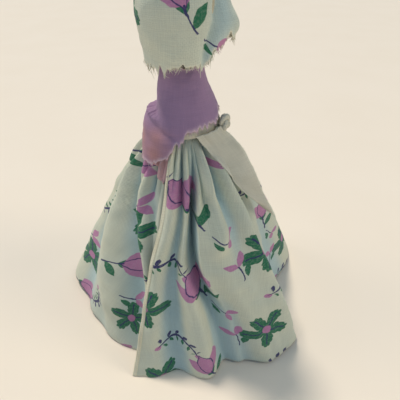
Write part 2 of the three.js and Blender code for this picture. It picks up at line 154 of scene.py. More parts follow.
def add_node(tree, kind, inputs, result=0, **choices):
    """What a new node gives out. inputs has values by the name or number of their sockets."""
    node = tree.nodes.new(kind)
    for label, choice in choices.items():
        setattr(node, label, choice)
    for label, value in inputs.items():
        feed(node.inputs[label], value)
    return Value(node.outputs[result])


def tree_of(values):
    """The node tree that values belong to."""
    return next(value.tree for value in values if isinstance(value, Value))


def calc(operation, *values):
    """A math node's result."""
    return add_node(tree_of(values), "ShaderNodeMath", dict(enumerate(values)), operation=operation)


def scaled(vector, factors):
    """A vector with each part multiplied by its own factor."""
    return add_node(vector.tree, "ShaderNodeVectorMath", {0: vector, 1: factors}, operation="MULTIPLY")


def parts_of(vector):
    """The x and y of a vector."""
    x = add_node(vector.tree, "ShaderNodeSeparateXYZ", {0: vector})
    return x, Value(x.socket.node.outputs[1])


def ramp(value, *span):
    """A value taken smoothly from start to end, 0 to 1 if not given, as it goes from low to high."""
    inputs = dict(enumerate((value, *span)))
    return add_node(value.tree, "ShaderNodeMapRange", inputs, interpolation_type="SMOOTHSTEP")


def noise(vector, scale, detail):
    """A noise texture's value."""
    inputs = {"Vector": vector, "Scale": scale, "Detail": detail}
    return add_node(vector.tree, "ShaderNodeTexNoise", inputs, "Fac")


def tint(share, first, second, blend="MIX"):
    """Two colours mixed by a share."""
    tree, inputs = tree_of((share, first, second)), {0: share, 6: first, 7: second}
    return add_node(tree, "ShaderNodeMix", inputs, 2, data_type="RGBA", blend_type=blend)


def paint(red, green, blue):
    """A colour as it reads on a screen, 0 to 255, in the renderer's own scale."""
    scale = [c / 255 for c in (red, green, blue)]
    return [c / 12.92 if c <= 0.04045 else ((c + 0.055) / 1.055) ** 2.4 for c in scale] + [1.0]


def new_group(name, inputs, outputs):
    """An empty shader node group with its named sockets, each a Float, Vector or Color."""
    group = bpy.data.node_groups.new(name, "ShaderNodeTree")
    for way, sockets in (("INPUT", inputs), ("OUTPUT", outputs)):
        for label, kind in sockets.items():
            group.interface.new_socket(label, in_out=way, socket_type="NodeSocket" + kind)
    given = group.nodes.new("NodeGroupInput").outputs
    return group, {label: Value(given[label]) for label in inputs}, group.nodes.new("NodeGroupOutput").inputs


def use(group, **values):
    """A node group placed in the tree of its values, which are given by name."""
    node = tree_of(values.values()).nodes.new("ShaderNodeGroup")
    node.node_tree = group
    for label, value in values.items():
        feed(node.inputs[label], value)
    return {socket.name: Value(socket) for socket in node.outputs}


# Warp and weft pass over and under each other, with yarns of uneven thickness.
weave, given, out = new_group(
    "plain_weave", {"Cloth": "Vector", "Pitch": "Float"}, {"Height": "Float", "Tone": "Color"}
)
wobble = noise(given["Cloth"], 0.9, 2.0) * 0.5
x, y = parts_of(given["Cloth"])
x, y = (x + wobble) / given["Pitch"], (y - wobble) / given["Pitch"]
warp_over = abs((calc("FLOOR", x) + calc("FLOOR", y)) % 2.0)
warp, weft = (abs(calc("SINE", way * math.pi)) for way in (x, y))
height = warp * warp_over + weft * (1.0 - warp_over)
along, across = (noise(scaled(given["Cloth"], run), 1.0, 1.0) for run in ((3.0, 0.15, 1.0), (0.15, 3.0, 1.0)))
slub = along + across
feed(out["Height"], height + slub * 0.4)
tone = height * 0.1 + slub * 0.16 + 0.77
feed(out["Tone"], add_node(weave, "ShaderNodeCombineColor", {0: tone, 1: tone, 2: tone}))

# Washed and handled cloth is a little uneven in colour, and pale where its raw yarns stand loose.
handling, given, out = new_group(
    "handling",
    {"Cloth": "Vector", "Fresh": "Color", "Worn": "Color", "Yarn": "Color", "Raw": "Float"},
    {"Color": "Color"},
)
blotch = ramp(noise(given["Cloth"], 0.09, 3.0), 0.38, 0.66)
shade = tint(blotch, given["Fresh"], given["Worn"])
feed(out["Color"], tint(given["Raw"], shade, given["Yarn"]))


def new_material(name):
    """A material with its node tree and the inputs of its shader."""
    material = bpy.data.materials.new(name)
    material.use_nodes = True
    return material, material.node_tree, material.node_tree.nodes["Principled BSDF"].inputs


def mark_of(tree, label):
    """A mark that the mesh carries on its points."""
    return add_node(tree, "ShaderNodeAttribute", {}, "Fac", attribute_name=label)


def cloth_material(name, fresh, worn, yarn, pitch, printed=None, ink=1.0, painted_light_colour=None):
    """Matte woven cotton: its colour drifts from fresh to worn, and its raw yarns have their own.
    printed is a print's node group, put on at the strength of its ink, and painted_light_colour the colour of painted
    light or shade at the Fade mark."""
    material, tree, shader = new_material(name)
    feed(shader["Specular IOR Level"], 0.2)
    feed(shader["Sheen Weight"], 0.12)
    feed(shader["Sheen Roughness"], 0.5)
    cloth = add_node(tree, "ShaderNodeUVMap", {}, uv_map="Flat")
    fresh, worn = paint(*fresh), paint(*worn)
    # Painted light and shade: at the Fade mark the colour turns to the painted one.
    if painted_light_colour:
        fresh, worn = (
            tint(mark_of(tree, "Fade"), colour, paint(*(f - 3 * step for f in painted_light_colour)))
            for step, colour in enumerate((fresh, worn))
        )
    raw = mark_of(tree, "Raw")
    shade = use(handling, Cloth=cloth, Fresh=fresh, Worn=worn, Yarn=paint(*yarn), Raw=raw)["Color"]
    if printed:
        shade = use(printed, Cloth=cloth, Ground=shade, Ink=ink)["Color"]
    thread = use(weave, Cloth=cloth, Pitch=pitch)
    feed(shader["Base Color"], tint(1.0, shade, thread["Tone"], "MULTIPLY"))
    feed(shader["Roughness"], ramp(thread["Height"], 0.0, 1.6, 0.97, 0.84))
    relief = {"Strength": 0.6, "Distance": 0.18 * pitch * MM, "Height": thread["Height"]}
    feed(shader["Normal"], add_node(tree, "ShaderNodeBump", relief))
    return material


muslin = cloth_material("muslin", (216, 205, 180), (198, 186, 160), (226, 217, 196), 0.5)
wound = np.linspace(0, 1, 240)[:, None]
rise = np.array([0, 0.4, 3, 12, 24, 36, 48, 60, 72, 79, 80.5, 82, 83.5, 86, 90, 93, ROLL_TOP])[None, :]
drawn_in = np.interp(rise, *zip(*ROLL_NECK))
turn_radius = (ROLL_START + (ROLL_RADIUS - ROLL_START) * wound) * drawn_in + 0.04 * ripple(wound * 90, rise, 3, 14)
places = around(ROLL_TURNS * 360 * wound + 40, turn_radius, rise)
strip = ROLL_TURNS * math.pi * (ROLL_START + ROLL_RADIUS)
column = lay_cloth("column_roll", places, paired(strip * wound, rise), 0.4)
column.data.materials.append(muslin)
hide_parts("core_roll")
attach(column, "trunk")

# Foot tie. Three turns of cotton thread round the foot of the column, knotted with the ends left long.
# The thread is two plies twisted together, and it stops the roll from opening.
THREAD = 0.6
PLY_LAY = 1.7
FOOT_TIE = (4.65, 8.0)


def tube(points, radii, sides):
    """Corners and faces of a tube along points, drawn shut at both ends."""
    points = np.asarray(points, float)
    way = np.gradient(points, axis=0)
    way /= np.linalg.norm(way, axis=1)[:, None]
    side = np.cross(way[0], (0.31, 0.52, 0.79))
    turn = np.linspace(0, 2 * np.pi, sides, endpoint=False)[:, None]
    rings = []
    for point, ahead, radius in zip(points, way, np.broadcast_to(radii, len(points))):
        side = side - ahead * (side @ ahead)
        side = side / np.linalg.norm(side)
        rings.append(point + radius * (np.cos(turn) * side + np.sin(turn) * np.cross(ahead, side)))
    last = (len(points) - 1) * sides
    step = [(k, (k + 1) % sides) for k in range(sides)]
    faces = [(i + a, i + b, i + b + sides, i + a + sides) for i in range(0, last, sides) for a, b in step]
    faces += [(b, a, last + sides) for a, b in step]
    faces += [(last + a, last + b, last + sides + 1) for a, b in step]
    return np.concatenate([*rings, points[:1], points[-1:]]), faces


def gather_tubes(name, tubes, flats=None, raw=None):
    """One piece of many tubes. flats gives each tube's spot on the flat cloth that it comes from."""
    corners, faces, spots, count = [], [], [], 0
    for i, (points, sides) in enumerate(tubes):
        corners.append(points)
        faces += [tuple(k + count for k in face) for face in sides]
        spots += [flats[i] if flats is not None else (3.7 * i, 0.0)] * len(points)
        count += len(points)
    mesh = bpy.data.meshes.new(name)
    mesh.from_pydata((np.concatenate(corners) * MM).tolist(), [], faces)
    index = np.zeros(len(mesh.loops), int)
    mesh.loops.foreach_get("vertex_index", index)
    mesh.uv_layers.new(name="Flat").data.foreach_set("uv", np.array(spots, np.float32)[index].ravel())
    if raw is not None:
        mesh.attributes.new("Raw", "FLOAT", "POINT").data.foreach_set("value", np.full(count, raw, np.float32))
    mesh.shade_smooth()
    return new_piece(name, mesh)


def run_along(points):
    """How far along a line each of its points is."""
    return np.concatenate([[0], np.cumsum(np.linalg.norm(np.diff(points, axis=0), axis=1))])


def twist_plies(path):
    """Two plies twisted together along a path."""
    way = np.gradient(path, axis=0)
    length = run_along(path)
    side = np.cross(way, (0.0, 0.0, 1.0))
    side /= np.linalg.norm(side, axis=1)[:, None]
    up = np.cross(side, way)
    up /= np.linalg.norm(up, axis=1)[:, None]
    plies = []
    for start in (0, np.pi):
        turn = (2 * np.pi * length / PLY_LAY + start)[:, None]
        plies.append(tube(path + THREAD * 0.22 * (np.cos(turn) * side + np.sin(turn) * up), THREAD * 0.27, 6))
    return plies


def wind_thread(name, radius, middle, start, ends=()):
    """Three turns of thread side by side about the doll's axis, with loose ends given as drops in mm."""
    turn = np.linspace(0, 3 * 360, 340)
    height = middle + THREAD * (turn / 360 - 1.5)
    plies = twist_plies(around(start + turn, radius + 0.05 * np.sin(np.radians(7 * turn)), height))
    for i, drop in enumerate(ends):
        along = np.linspace(0, 1, 26)
        fall = around(
            start + (2 * i - 1) * 24 * along, radius + THREAD * (0.9 + 0.5 * along), middle - drop * along**1.6
        )
        plies += twist_plies(fall)
    if ends:
        loop = np.linspace(0, 2 * np.pi, 40)
        knot = around(
            start + 9 * np.cos(loop),
            radius + THREAD * (1.0 + 0.35 * np.sin(2 * loop)),
            middle + 0.7 * np.sin(loop),
        )
        plies += twist_plies(knot)
    return gather_tubes(name, plies)


def place_in_mm(tree):
    """Where a place lies on its piece, in mm."""
    return scaled(add_node(tree, "ShaderNodeTexCoord", {}, "Object"), (1 / MM,) * 3)


def fibre_material(name, specular, sheen, stretch, grain, colours, rough, depth):
    """Matte cotton fibres, spun or loose: the grain's scale and detail, and the relief's depth in mm."""
    material, tree, shader = new_material(name)
    feed(shader["Specular IOR Level"], specular)
    feed(shader["Sheen Weight"], sheen)
    fibre = noise(scaled(place_in_mm(tree), stretch), *grain)
    feed(shader["Base Color"], tint(fibre, *(paint(*colour) for colour in colours)))
    feed(shader["Roughness"], ramp(fibre, *rough))
    feed(shader["Normal"], add_node(tree, "ShaderNodeBump", {"Distance": depth * MM, "Height": fibre}))
    return material


thread_cotton = fibre_material(
    "thread_cotton",
    specular=0.3,
    sheen=0.2,
    stretch=(1.0, 1.0, 1.0),
    grain=(5.0, 3.0),
    colours=((186, 174, 146), (226, 217, 196)),
    rough=(0.3, 0.7, 0.75, 0.95),
    depth=0.05,
)
foot_tie = wind_thread("foot_tie", *FOOT_TIE, 20, ends=(5.0, 3.6))
foot_tie.data.materials.append(thread_cotton)
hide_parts("core_foot_tie")
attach(foot_tie, "trunk")

# Undershirt. A plain muslin oblong wrapped on the column with a short lap, raw at its hem.
# It is drawn in under the skirt's waist and opens a little towards the hem.
UNDERSHIRT_HEM, UNDERSHIRT_TOP = 14.0, 78.4
UNDERSHIRT_RADIUS = [(14, 6.1), (40, 5.4), (71, 4.62), (78.5, 4.6)]
UNDERSHIRT_START, UNDERSHIRT_LAP = 150, 28
YARN_ABOVE_TABLE = 0.12


def teeth(length, seed, width, height):
    """A raw edge's ragged line: how far each place along it stands out, in mm."""
    rng = np.random.default_rng(seed)
    ends = np.cumsum(rng.uniform(0.35, 1.0, int(length.max() / width * 2.2) + 8) * width)
    out = rng.uniform(-0.25, 1.0, len(ends)) * height
    out[::2] = rng.uniform(-0.5, 0.2, len(out[::2])) * height
    return np.interp(length, ends - ends[0], out)


def tear(places, row, seed, width, height, reach):
    """Makes one side of a grid of places a raw edge: row 0 is the lowest row and -1 the highest."""
    rows = places.shape[1]
    order = np.arange(rows) if row == 0 else np.arange(rows)[::-1]
    line = places[:, order]
    outward = line[:, 0] - line[:, 1]
    outward /= np.linalg.norm(outward, axis=1)[:, None] + 1e-9
    inward = np.array([run_along(column) for column in line])
    mark = np.clip(1 - inward / reach, 0, 1)
    shift = teeth(run_along(line[:, 0]), seed, width, height)[:, None] * mark
    torn = line + shift[..., None] * outward[:, None]
    back = np.argsort(order)
    return torn[:, back], mark[:, back]


def fray(name, edge, inner, flats, count, longest, seed):
    """Loose yarns that stand out of a raw edge. inner is the row of places next to the edge."""
    rng = np.random.default_rng(seed)
    outward = edge - inner
    outward /= np.linalg.norm(outward, axis=1)[:, None] + 1e-9
    along = np.gradient(edge, axis=0)
    along /= np.linalg.norm(along, axis=1)[:, None] + 1e-9
    face = np.cross(along, outward)
    yarns, spots = [], []
    for _ in range(count):
        at = rng.uniform(0, len(edge) - 1.001)
        i, share = int(at), at % 1
        root = edge[i] * (1 - share) + edge[i + 1] * share
        reach = longest * rng.uniform(0.25, 1.0) ** 1.6
        way = outward[i] + rng.normal(0, 0.45) * along[i] + rng.normal(0, 0.28) * face[i]
        bend = rng.normal(0, 0.5) * along[i] + rng.normal(0, 0.3) * face[i]
        step = np.linspace(0, 1, 5)[:, None]
        line = root - 0.25 * outward[i] + step * way * (reach + 0.25) + step**2 * bend * reach
        line[:, 2] = np.maximum(line[:, 2], YARN_ABOVE_TABLE)
        yarns.append(tube(line, np.array([0.085, 0.08, 0.065, 0.05, 0.025]), 3))
        spots.append(flats[i])
    return gather_tubes(name, yarns, spots, rng.uniform(0.55, 0.7))


wrap = np.linspace(0, 1, 120)[:, None]
rise = np.linspace(UNDERSHIRT_HEM, UNDERSHIRT_TOP, 60)[None, :]
azimuth = UNDERSHIRT_START + (360 + UNDERSHIRT_LAP) * wrap
soft = ripple(azimuth / 9, rise / 6, 11, 5) * np.interp(rise, [14, 60, 72], [0.3, 0.12, 0.02])
radius = np.interp(rise, *zip(*UNDERSHIRT_RADIUS)) + 0.45 * np.clip((wrap - 0.9) / 0.08, 0, 1) + soft
places, raw = tear(around(azimuth, radius, rise), 0, 12, 1.0, 0.5, 1.2)
width = 42.0
flat = paired(width * wrap, rise)
undershirt = lay_cloth("undershirt_wrap", places, flat, 0.28, raw)
undershirt.data.materials.append(muslin)
undershirt_fray = fray("undershirt_fray", places[:, 0], places[:, 1], flat[:, 0], 90, 1.2, 13)
undershirt_fray.data.materials.append(muslin)
for piece in (undershirt, undershirt_fray):
    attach(piece, "trunk")
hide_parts("undershirt")

# Undershirt tie. Three turns of the same thread draw the undershirt's top onto the column.
# The skirt's gathers are pushed up under it.
undershirt_tie = wind_thread("undershirt_thread", 5.6, 77.6, 200)
undershirt_tie.data.materials.append(thread_cotton)
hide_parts("undershirt_tie")
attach(undershirt_tie, "trunk")

# Skirt. One width of thin printed cotton, gathered small at the waist and lapped at the front, where its
# selvedge lies on top. It stands out in soft folds and reaches the table with a plain cut hem.
SKIRT_TOP, SKIRT_BAND, SKIRT_HEM_RADIUS, SKIRT_LIFT = 76.6, 71.6, 38.0, 2.5
SKIRT_WAIST, SKIRT_LAP, SKIRT_SLANT = 5.8, 0.95, 84.0
SKIRT_START, SKIRT_TURNS, SKIRT_PLEATS = -27, 1.0972, 27
SKIRT_LEVELS = (0.0, 0.1, 0.25, 0.45, 0.7, 1.0)
# Each fold: its azimuth at the levels below the waist, and how far it stands out there.
SKIRT_FOLDS = [
    ((-22, -21, -25, -26, -27), (0.0, -0.2, -0.2, 0.1, 0.3)),
    ((-16, -12, -20, -21, -20), (1.1, 1.5, 0.6, 0.2, -1.0)),
    ((-1, -2, -8, -9, -4), (-1.4, -2.0, -3.4, -5.0, -5.8)),
    ((7, 3, -1, 8, 12), (0.6, 0.2, 0.0, 0.6, -2.2)),
    ((15, 10.5, 9, 19, 23), (-2.6, -6.0, -7.0, -6.4, -6.2)),
    ((19, 13, 12.5, 27, 32), (1.2, 1.6, 1.6, -1.6, -2.7)),
    ((28, 26, 28, 38, 45), (2.4, 3.4, 3.4, 2.6, 3.7)),
    ((36, 39, 40, 46, 50), (-2.0, -0.4, 2.8, 3.4, 4.6)),
    ((48, 51, 52, 57, 60), (1.8, 3.4, 4.6, 5.6, 6.2)),
    ((56, 61, 64, 69, 73), (-2.4, -5.0, -6.5, -7.0, -6.4)),
    ((72, 82, 87, 90, 92), (-0.2, -2.2, -3.2, -4.0, -4.0)),
    ((100, 108, 114, 119, 122), (0.5, 1.8, 4.0, 8.0, 13.0)),
    ((135, 141, 145, 147, 148), (-0.6, -1.4, -2.0, -2.2, -1.8)),
    ((165, 170, 173, 175, 176), (0.6, 1.6, 3.2, 5.4, 8.0)),
    ((195, 200, 203, 204, 205), (-0.6, -1.4, -2.0, -2.4, -2.4)),
    ((220, 225, 227, 229, 230), (0.5, 1.4, 2.8, 4.8, 7.0)),
    ((232, 238, 241, 243, 244), (-0.4, -0.4, 0.2, 2.0, 4.4)),
    ((245, 251, 255, 257, 258), (0.5, 1.8, 3.6, 6.4, 10.0)),
    ((258, 264, 268, 273, 280), (-0.6, -0.2, 0.2, 0.2, 0.4)),
    ((268, 276, 284, 294, 302), (1.3, 2.0, 2.8, 1.8, -3.8)),
    ((282, 290, 314, 324, 331), (-3.0, -5.4, -5.2, -6.2, -7.6)),
    ((303, 314, 328, 334, 339), (1.2, 2.2, 1.6, -3.0, -7.0)),
    ((316, 325, 334, 344, 350), (-0.8, -0.9, -1.0, -5.5, -9.2)),
    ((328, 333, 338, 349, 354), (0.2, 0.2, -1.2, -6.4, -9.4)),
    ((344, 346, 347, 356, 361), (-0.5, -1.6, -4.4, -7.6, -9.6)),
    ((362, 362, 361, 364, 368), (-0.9, -2.2, -4.8, -7.6, -9.4)),
]
# Azimuth, how much the cloth bellies (1 falls straight), and how far the hem lifts off the table.
SKIRT_FALL = [
    (-27, 0.84, 0.0), (0, 0.84, 0.0), (20, 0.84, 0.3), (43, 0.76, 0.3), (61, 0.68, 0.5), (88, 0.6, 0.48),
    (117, 0.6, 0.0), (147, 0.68, 0.32), (176, 0.72, 0.0), (205, 0.72, 0.32), (230, 0.7, 0.0), (258, 0.68, 1.0),
    (280, 0.72, 0.48), (304, 0.86, 0.16), (326, 0.92, 0.0), (347, 0.92, 0.2), (368, 0.92, 0.0),
]


def smoothly(places, heights, at):
    """The height of a soft curve that is level at each of its places."""
    places, heights = np.asarray(places, float), np.asarray(heights, float)
    at = np.clip(np.asarray(at, float), places[0], places[-1])
    i = np.clip(np.searchsorted(places, at) - 1, 0, len(places) - 2)
    share = (1 - np.cos(np.pi * (at - places[i]) / (places[i + 1] - places[i]))) / 2
    return heights[i] + (heights[i + 1] - heights[i]) * share


def flowing(places, heights, at):
    """The height at one place of a curve that flows through its points without levelling."""
    slope = np.gradient(heights, places)
    i = min(max(int(np.searchsorted(places, at)) - 1, 0), len(places) - 2)
    span = places[i + 1] - places[i]
    s = (at - places[i]) / span
    start = (1 + 2 * s) * (1 - s) ** 2 * heights[i] + s * (1 - s) ** 2 * span * slope[i]
    return start + s * s * (3 - 2 * s) * heights[i + 1] + s * s * (s - 1) * span * slope[i + 1]


def ease(x):
    """0 below 0, 1 above 1 and smooth between."""
    x = np.clip(x, 0, 1)
    return x * x * (3 - 2 * x)


def skirt_columns(fall):
    """The azimuths of the cloth's columns, which run down along its folds, a share of the way down."""
    lines = [flowing(SKIRT_LEVELS, (a[0], *a), fall) for a, _ in SKIRT_FOLDS]
    counts = [max(9, math.ceil(max(b) - min(a))) for (a, _), (b, _) in zip(SKIRT_FOLDS, SKIRT_FOLDS[1:])]
    runs = [np.linspace(a, b, n, endpoint=False) for a, b, n in zip(lines, lines[1:], counts)]
    return np.concatenate([*runs, lines[-1:]])


def skirt_radius(azimuth, fall):
    """How far out the skirt is at azimuths, a share of the way down from the waist."""
    azimuth = np.asarray(azimuth, float)
    lines = [flowing(SKIRT_LEVELS, (a[0], *a), fall) for a, _ in SKIRT_FOLDS]
    depths = [flowing(SKIRT_LEVELS, (0, *d), fall) for _, d in SKIRT_FOLDS]
    bearing, belly, _ = zip(*SKIRT_FALL)
    waist = SKIRT_WAIST + SKIRT_LAP * (SKIRT_TURNS - (azimuth - SKIRT_START) / 360)
    flare = (SKIRT_HEM_RADIUS - waist) * fall ** smoothly(bearing, belly, azimuth)
    uneven = 0.33 * np.sin(np.radians(2.3 * azimuth + 40))
    pleat = azimuth * SKIRT_PLEATS / 360 + uneven + 0.16 * np.sin(np.radians(5.3 * azimuth))
    run = 0.3 + 0.1 * np.sin(np.radians(4.7 * azimuth)) + 0.06 * np.sin(np.radians(11.3 * azimuth + 30))
    under = 1 - 0.55 * ease((azimuth - 318) / 14)
    height = (0.28 + 2.1 * under * ease(fall / 0.08)) * (1 - ease((fall - 0.06) / run))
    gathers = height * (np.abs(np.sin(np.pi * pleat)) - 0.6)
    puff = 2.3 * np.exp(-(((azimuth - 26) / 9) ** 2) - ((fall - 0.33 + 0.003 * (azimuth - 26)) / 0.055) ** 2)
    hollow = 1.7 * np.exp(-(((azimuth - 23) / 6) ** 2) - ((fall - 0.215) / 0.045) ** 2)
    return waist + flare + smoothly(lines, depths, azimuth) + gathers + puff - hollow


def skirt_height(azimuth, fall):
    """The height of the skirt's cloth at azimuths, a share of the way down."""
    bearing, _, lift = zip(*SKIRT_FALL)
    return SKIRT_BAND - fall * (SKIRT_BAND - SKIRT_LIFT * smoothly(bearing, lift, azimuth))


def skirt_place(azimuth, fall, proud=0.0):
    """Places on the skirt's cloth with its small crumples, or proud of it, in mm."""
    slant = SKIRT_SLANT * fall
    crumple = 0.36 * ripple(azimuth / 2.2, slant, 21, 17) + 0.13 * ripple(azimuth / 2.2, slant, 22, 6)
    crumple = crumple * ease(fall / 0.35) * (1 - 0.6 * ease((azimuth - 315) / 15))
    z = skirt_height(azimuth, fall) + 0.2 + 0.35 * proud
    return around(azimuth, skirt_radius(azimuth, fall) + crumple + proud, z)


def skirt_relief(azimuth, fall):
    """How far the skirt stands out from its own middle line at azimuths, in mm."""
    about = np.arange(-70, 411, 2.0)
    out = skirt_radius(about, fall)
    window = np.hanning(31)
    return np.interp(azimuth, about, out - np.convolve(np.pad(out, 15, "edge"), window / window.sum(), "valid"))


# The skirt's flat cut is a ring sector: its inner radius, the azimuth of its middle, how far it turns for each
# degree round the doll, and where its centre lies on the printed cloth, across and along.
CUT_RADIUS, CUT_FRONT, CUT_TURN, SKIRT_CUT = 19, 20, 0.37, (17.0, 4.0)


def skirt_flat(azimuth, slant):
    """Where a place of the skirt lies on the flat cloth."""
    turn = np.radians(CUT_TURN * (np.asarray(azimuth) - CUT_FRONT))
    reach = CUT_RADIUS + slant
    return paired(reach * np.sin(turn), -reach * np.cos(turn)) + SKIRT_CUT


# The print repeats in a half-drop: each motif has its place, turn and size in a tile of cloth.
tile, given, out = new_group(
    "repeat_place", {"Cloth": "Vector", "Place": "Vector", "Turn": "Float", "Size": "Float"}, {"Local": "Vector"}
)
# The start keeps the count of tiles above zero, with each place in the middle of its tile.
TILE, TILE_START = (37.0, 31.0), 20.5
x, y = parts_of(
    add_node(tile, "ShaderNodeVectorMath", {0: given["Cloth"], 1: given["Place"]}, operation="SUBTRACT")
)
x = x / TILE[0] + TILE_START
y = y / TILE[1] + TILE_START + calc("FLOOR", x) % 2.0 * 0.5
x, y = ((calc("FRACT", share) - 0.5) * size for share, size in zip((x, y), TILE))
local = add_node(tile, "ShaderNodeCombineXYZ", {0: x, 1: y})
spun = add_node(tile, "ShaderNodeVectorRotate", {"Vector": local, "Angle": given["Turn"]}, rotation_type="Z_AXIS")
shrunk = add_node(tile, "ShaderNodeVectorMath", {0: spun, "Scale": 1.0 / given["Size"]}, operation="SCALE")
feed(out["Local"], shrunk)

INKS = {"Green": "Float", "Mauve": "Float", "Navy": "Float"}


def petal(local, centre, turn, size):
    """How far a place is from the middle of a pointed petal or leaf: 1 is its outline."""
    inputs = {"Vector": local, "Location": (*centre, 0), "Rotation": (0, 0, turn), "Scale": (*size, 1)}
    x, y = parts_of(add_node(local.tree, "ShaderNodeMapping", inputs, vector_type="TEXTURE"))
    return abs(x) + y * y


def filled(distance, edge=1.0, soft=0.07):
    """An inked shape's mask from its distance."""
    return ramp(distance, edge + soft, edge - soft)


def most(*masks):
    """Masks laid over each other."""
    total = masks[0]
    for mask in masks[1:]:
        total = calc("MAXIMUM", total, mask)
    return total


def from_middle(x, y):
    """How far a place is from the middle."""
    return calc("SQRT", x * x + y * y)


# A five-lobed leaf with veins and a small round heart.
lobed_leaf, given, out = new_group("lobed_leaf", {"Local": "Vector"}, INKS)
x, y = parts_of(given["Local"])
reach = from_middle(x, y)
bearing = calc("ARCTAN2", y, x) * 2.5
lobe, notch = abs(calc("COSINE", bearing)), abs(calc("SINE", bearing * 6.0))
inside = reach - (lobe * 3.6 + notch * 0.45 + 2.0)
vein = filled(abs(calc("SINE", bearing)) * reach, 0.45, 0.2) * filled(inside, -0.6, 0.15)
heart = filled(reach, 1.2, 0.12)
feed(out["Green"], filled(inside, 0.0, 0.12))
feed(out["Mauve"], heart)
feed(out["Navy"], vein * (1.0 - heart))

# A bell of three petals on a stem with one leaf.
bell_flower, given, out = new_group("bell_flower", {"Local": "Vector"}, INKS)
middle = petal(given["Local"], (0, 3.2), 0.0, (1.8, 3.9))
left, right = (petal(given["Local"], (1.9 * side, 2.7), -0.55 * side, (1.6, 3.5)) for side in (-1, 1))
x, y = parts_of(given["Local"])
stem = filled(abs(x - y * y * 0.03), 0.2, 0.07) * filled(abs(y + 2.7), 2.7, 0.1)
calyx = petal(given["Local"], (0, 0.2), 0.0, (1.3, 1.5))
leaf = petal(given["Local"], (2.2, -2.7), -0.9, (0.95, 2.5))
feed(out["Mauve"], most(filled(middle), filled(left), filled(right)))
feed(out["Green"], most(filled(calyx), filled(leaf)))
feed(out["Navy"], most(filled(abs(middle - 1.0), 0.07, 0.05), stem))

# An arched twig with small leaves along it and a berry at each end.
arched_twig, given, out = new_group("arched_twig", {"Local": "Vector"}, INKS)
ARCH, LEAF_STEP = 8.5, 2.4
x, y = parts_of(given["Local"])
y = y + ARCH
off = from_middle(x, y) - ARCH
swing = calc("ARCTAN2", x, y)
branch = filled(abs(off) - (0.5 - swing * swing * 0.62), 0.0, 0.06)
along = calc("FRACT", swing * (ARCH / LEAF_STEP) + 10.0)
cell = add_node(arched_twig, "ShaderNodeCombineXYZ", {0: (along - 0.5) * LEAF_STEP, 1: abs(off)})
leaves = filled(petal(cell, (0.2, 1.3), -0.4, (0.5, 1.1)), 1.0, 0.1) * filled(abs(swing), 0.7, 0.02)
right = petal(given["Local"], (6.4, -3.0), 0.0, (1.1, 1.0))
left = petal(given["Local"], (-6.4, -3.0), 0.6, (1.0, 0.9))
feed(out["Green"], leaves * filled(off, 0.0, 0.2))
feed(out["Mauve"], most(filled(right), filled(left)))
feed(out["Navy"], most(branch, leaves * ramp(off, -0.2, 0.2)))

# A sprig: two petals on a bent stem with a narrow leaf.
sprig, given, out = new_group("sprig", {"Local": "Vector"}, INKS)
left, right = (petal(given["Local"], (1.4 * side, 1.5), -0.75 * side, (0.95, 2.0)) for side in (-1, 1))
x, y = parts_of(given["Local"])
feed(out["Mauve"], most(filled(left), filled(right)))
feed(out["Green"], filled(petal(given["Local"], (1.2, -2.2), -0.6, (0.75, 1.9))))
feed(out["Navy"], filled(abs(x - y * y * -0.08), 0.2, 0.07) * filled(abs(y + 2.0), 2.2, 0.1))

# The whole print: leaves, bells, twigs and sprigs in green, mauve and navy inks that take unevenly.
print_group, given, out = new_group(
    "garden_print", {"Cloth": "Vector", "Ground": "Color", "Ink": "Float"}, {"Color": "Color"}
)
drift = add_node(print_group, "ShaderNodeTexNoise", {"Scale": 0.35, "Vector": given["Cloth"]}, "Color")
inputs = {0: drift, 1: (1.3, 1.3, 0.0), 2: given["Cloth"]}
hand = add_node(print_group, "ShaderNodeVectorMath", inputs, operation="MULTIPLY_ADD")
masks = {ink: [] for ink in INKS}
for motif, place, turn, size in (
    (lobed_leaf, (-5.0, -9.0, 0), 0.3, 1.25),
    (bell_flower, (13.0, -7.0, 0), -0.35, 1.3),
    (arched_twig, (3.5, 6.0, 0), 0.25, 1.12),
    (sprig, (24.0, 3.5, 0), -0.5, 1.2),
    (sprig, (21.0, -17.0, 0), 1.9, 0.9),
):
    local = use(tile, Cloth=hand, Place=place, Turn=turn, Size=size)["Local"]
    drawn = use(motif, Local=local)
    for ink in masks:
        masks[ink].append(drawn[ink])
take = ramp(noise(given["Cloth"], 1.6, 2.0), 0.25, 0.6, 0.86, 1.0) * given["Ink"]
shade = given["Ground"]
for ink, colour in (("Green", (50, 116, 86)), ("Mauve", (192, 132, 172)), ("Navy", (62, 62, 108))):
    shade = tint(most(*masks[ink]) * take, shade, paint(*colour))
feed(out["Color"], shade)

# Its pale mint ground is creamy, and a bluish painted shade lies in the hollows of the folds.
MINT, MINT_WORN, MINT_YARN, MINT_PAINTED_SHADE = (215, 216, 196), (210, 213, 196), (230, 226, 206), (183, 203, 204)
printed_cotton = cloth_material("printed_cotton", MINT, MINT_WORN, MINT_YARN, 0.42, print_group, painted_light_colour=MINT_PAINTED_SHADE)
printed_reverse = cloth_material("printed_reverse", (198, 207, 194), (204, 208, 190), MINT_YARN, 0.42, print_group, 0.4)

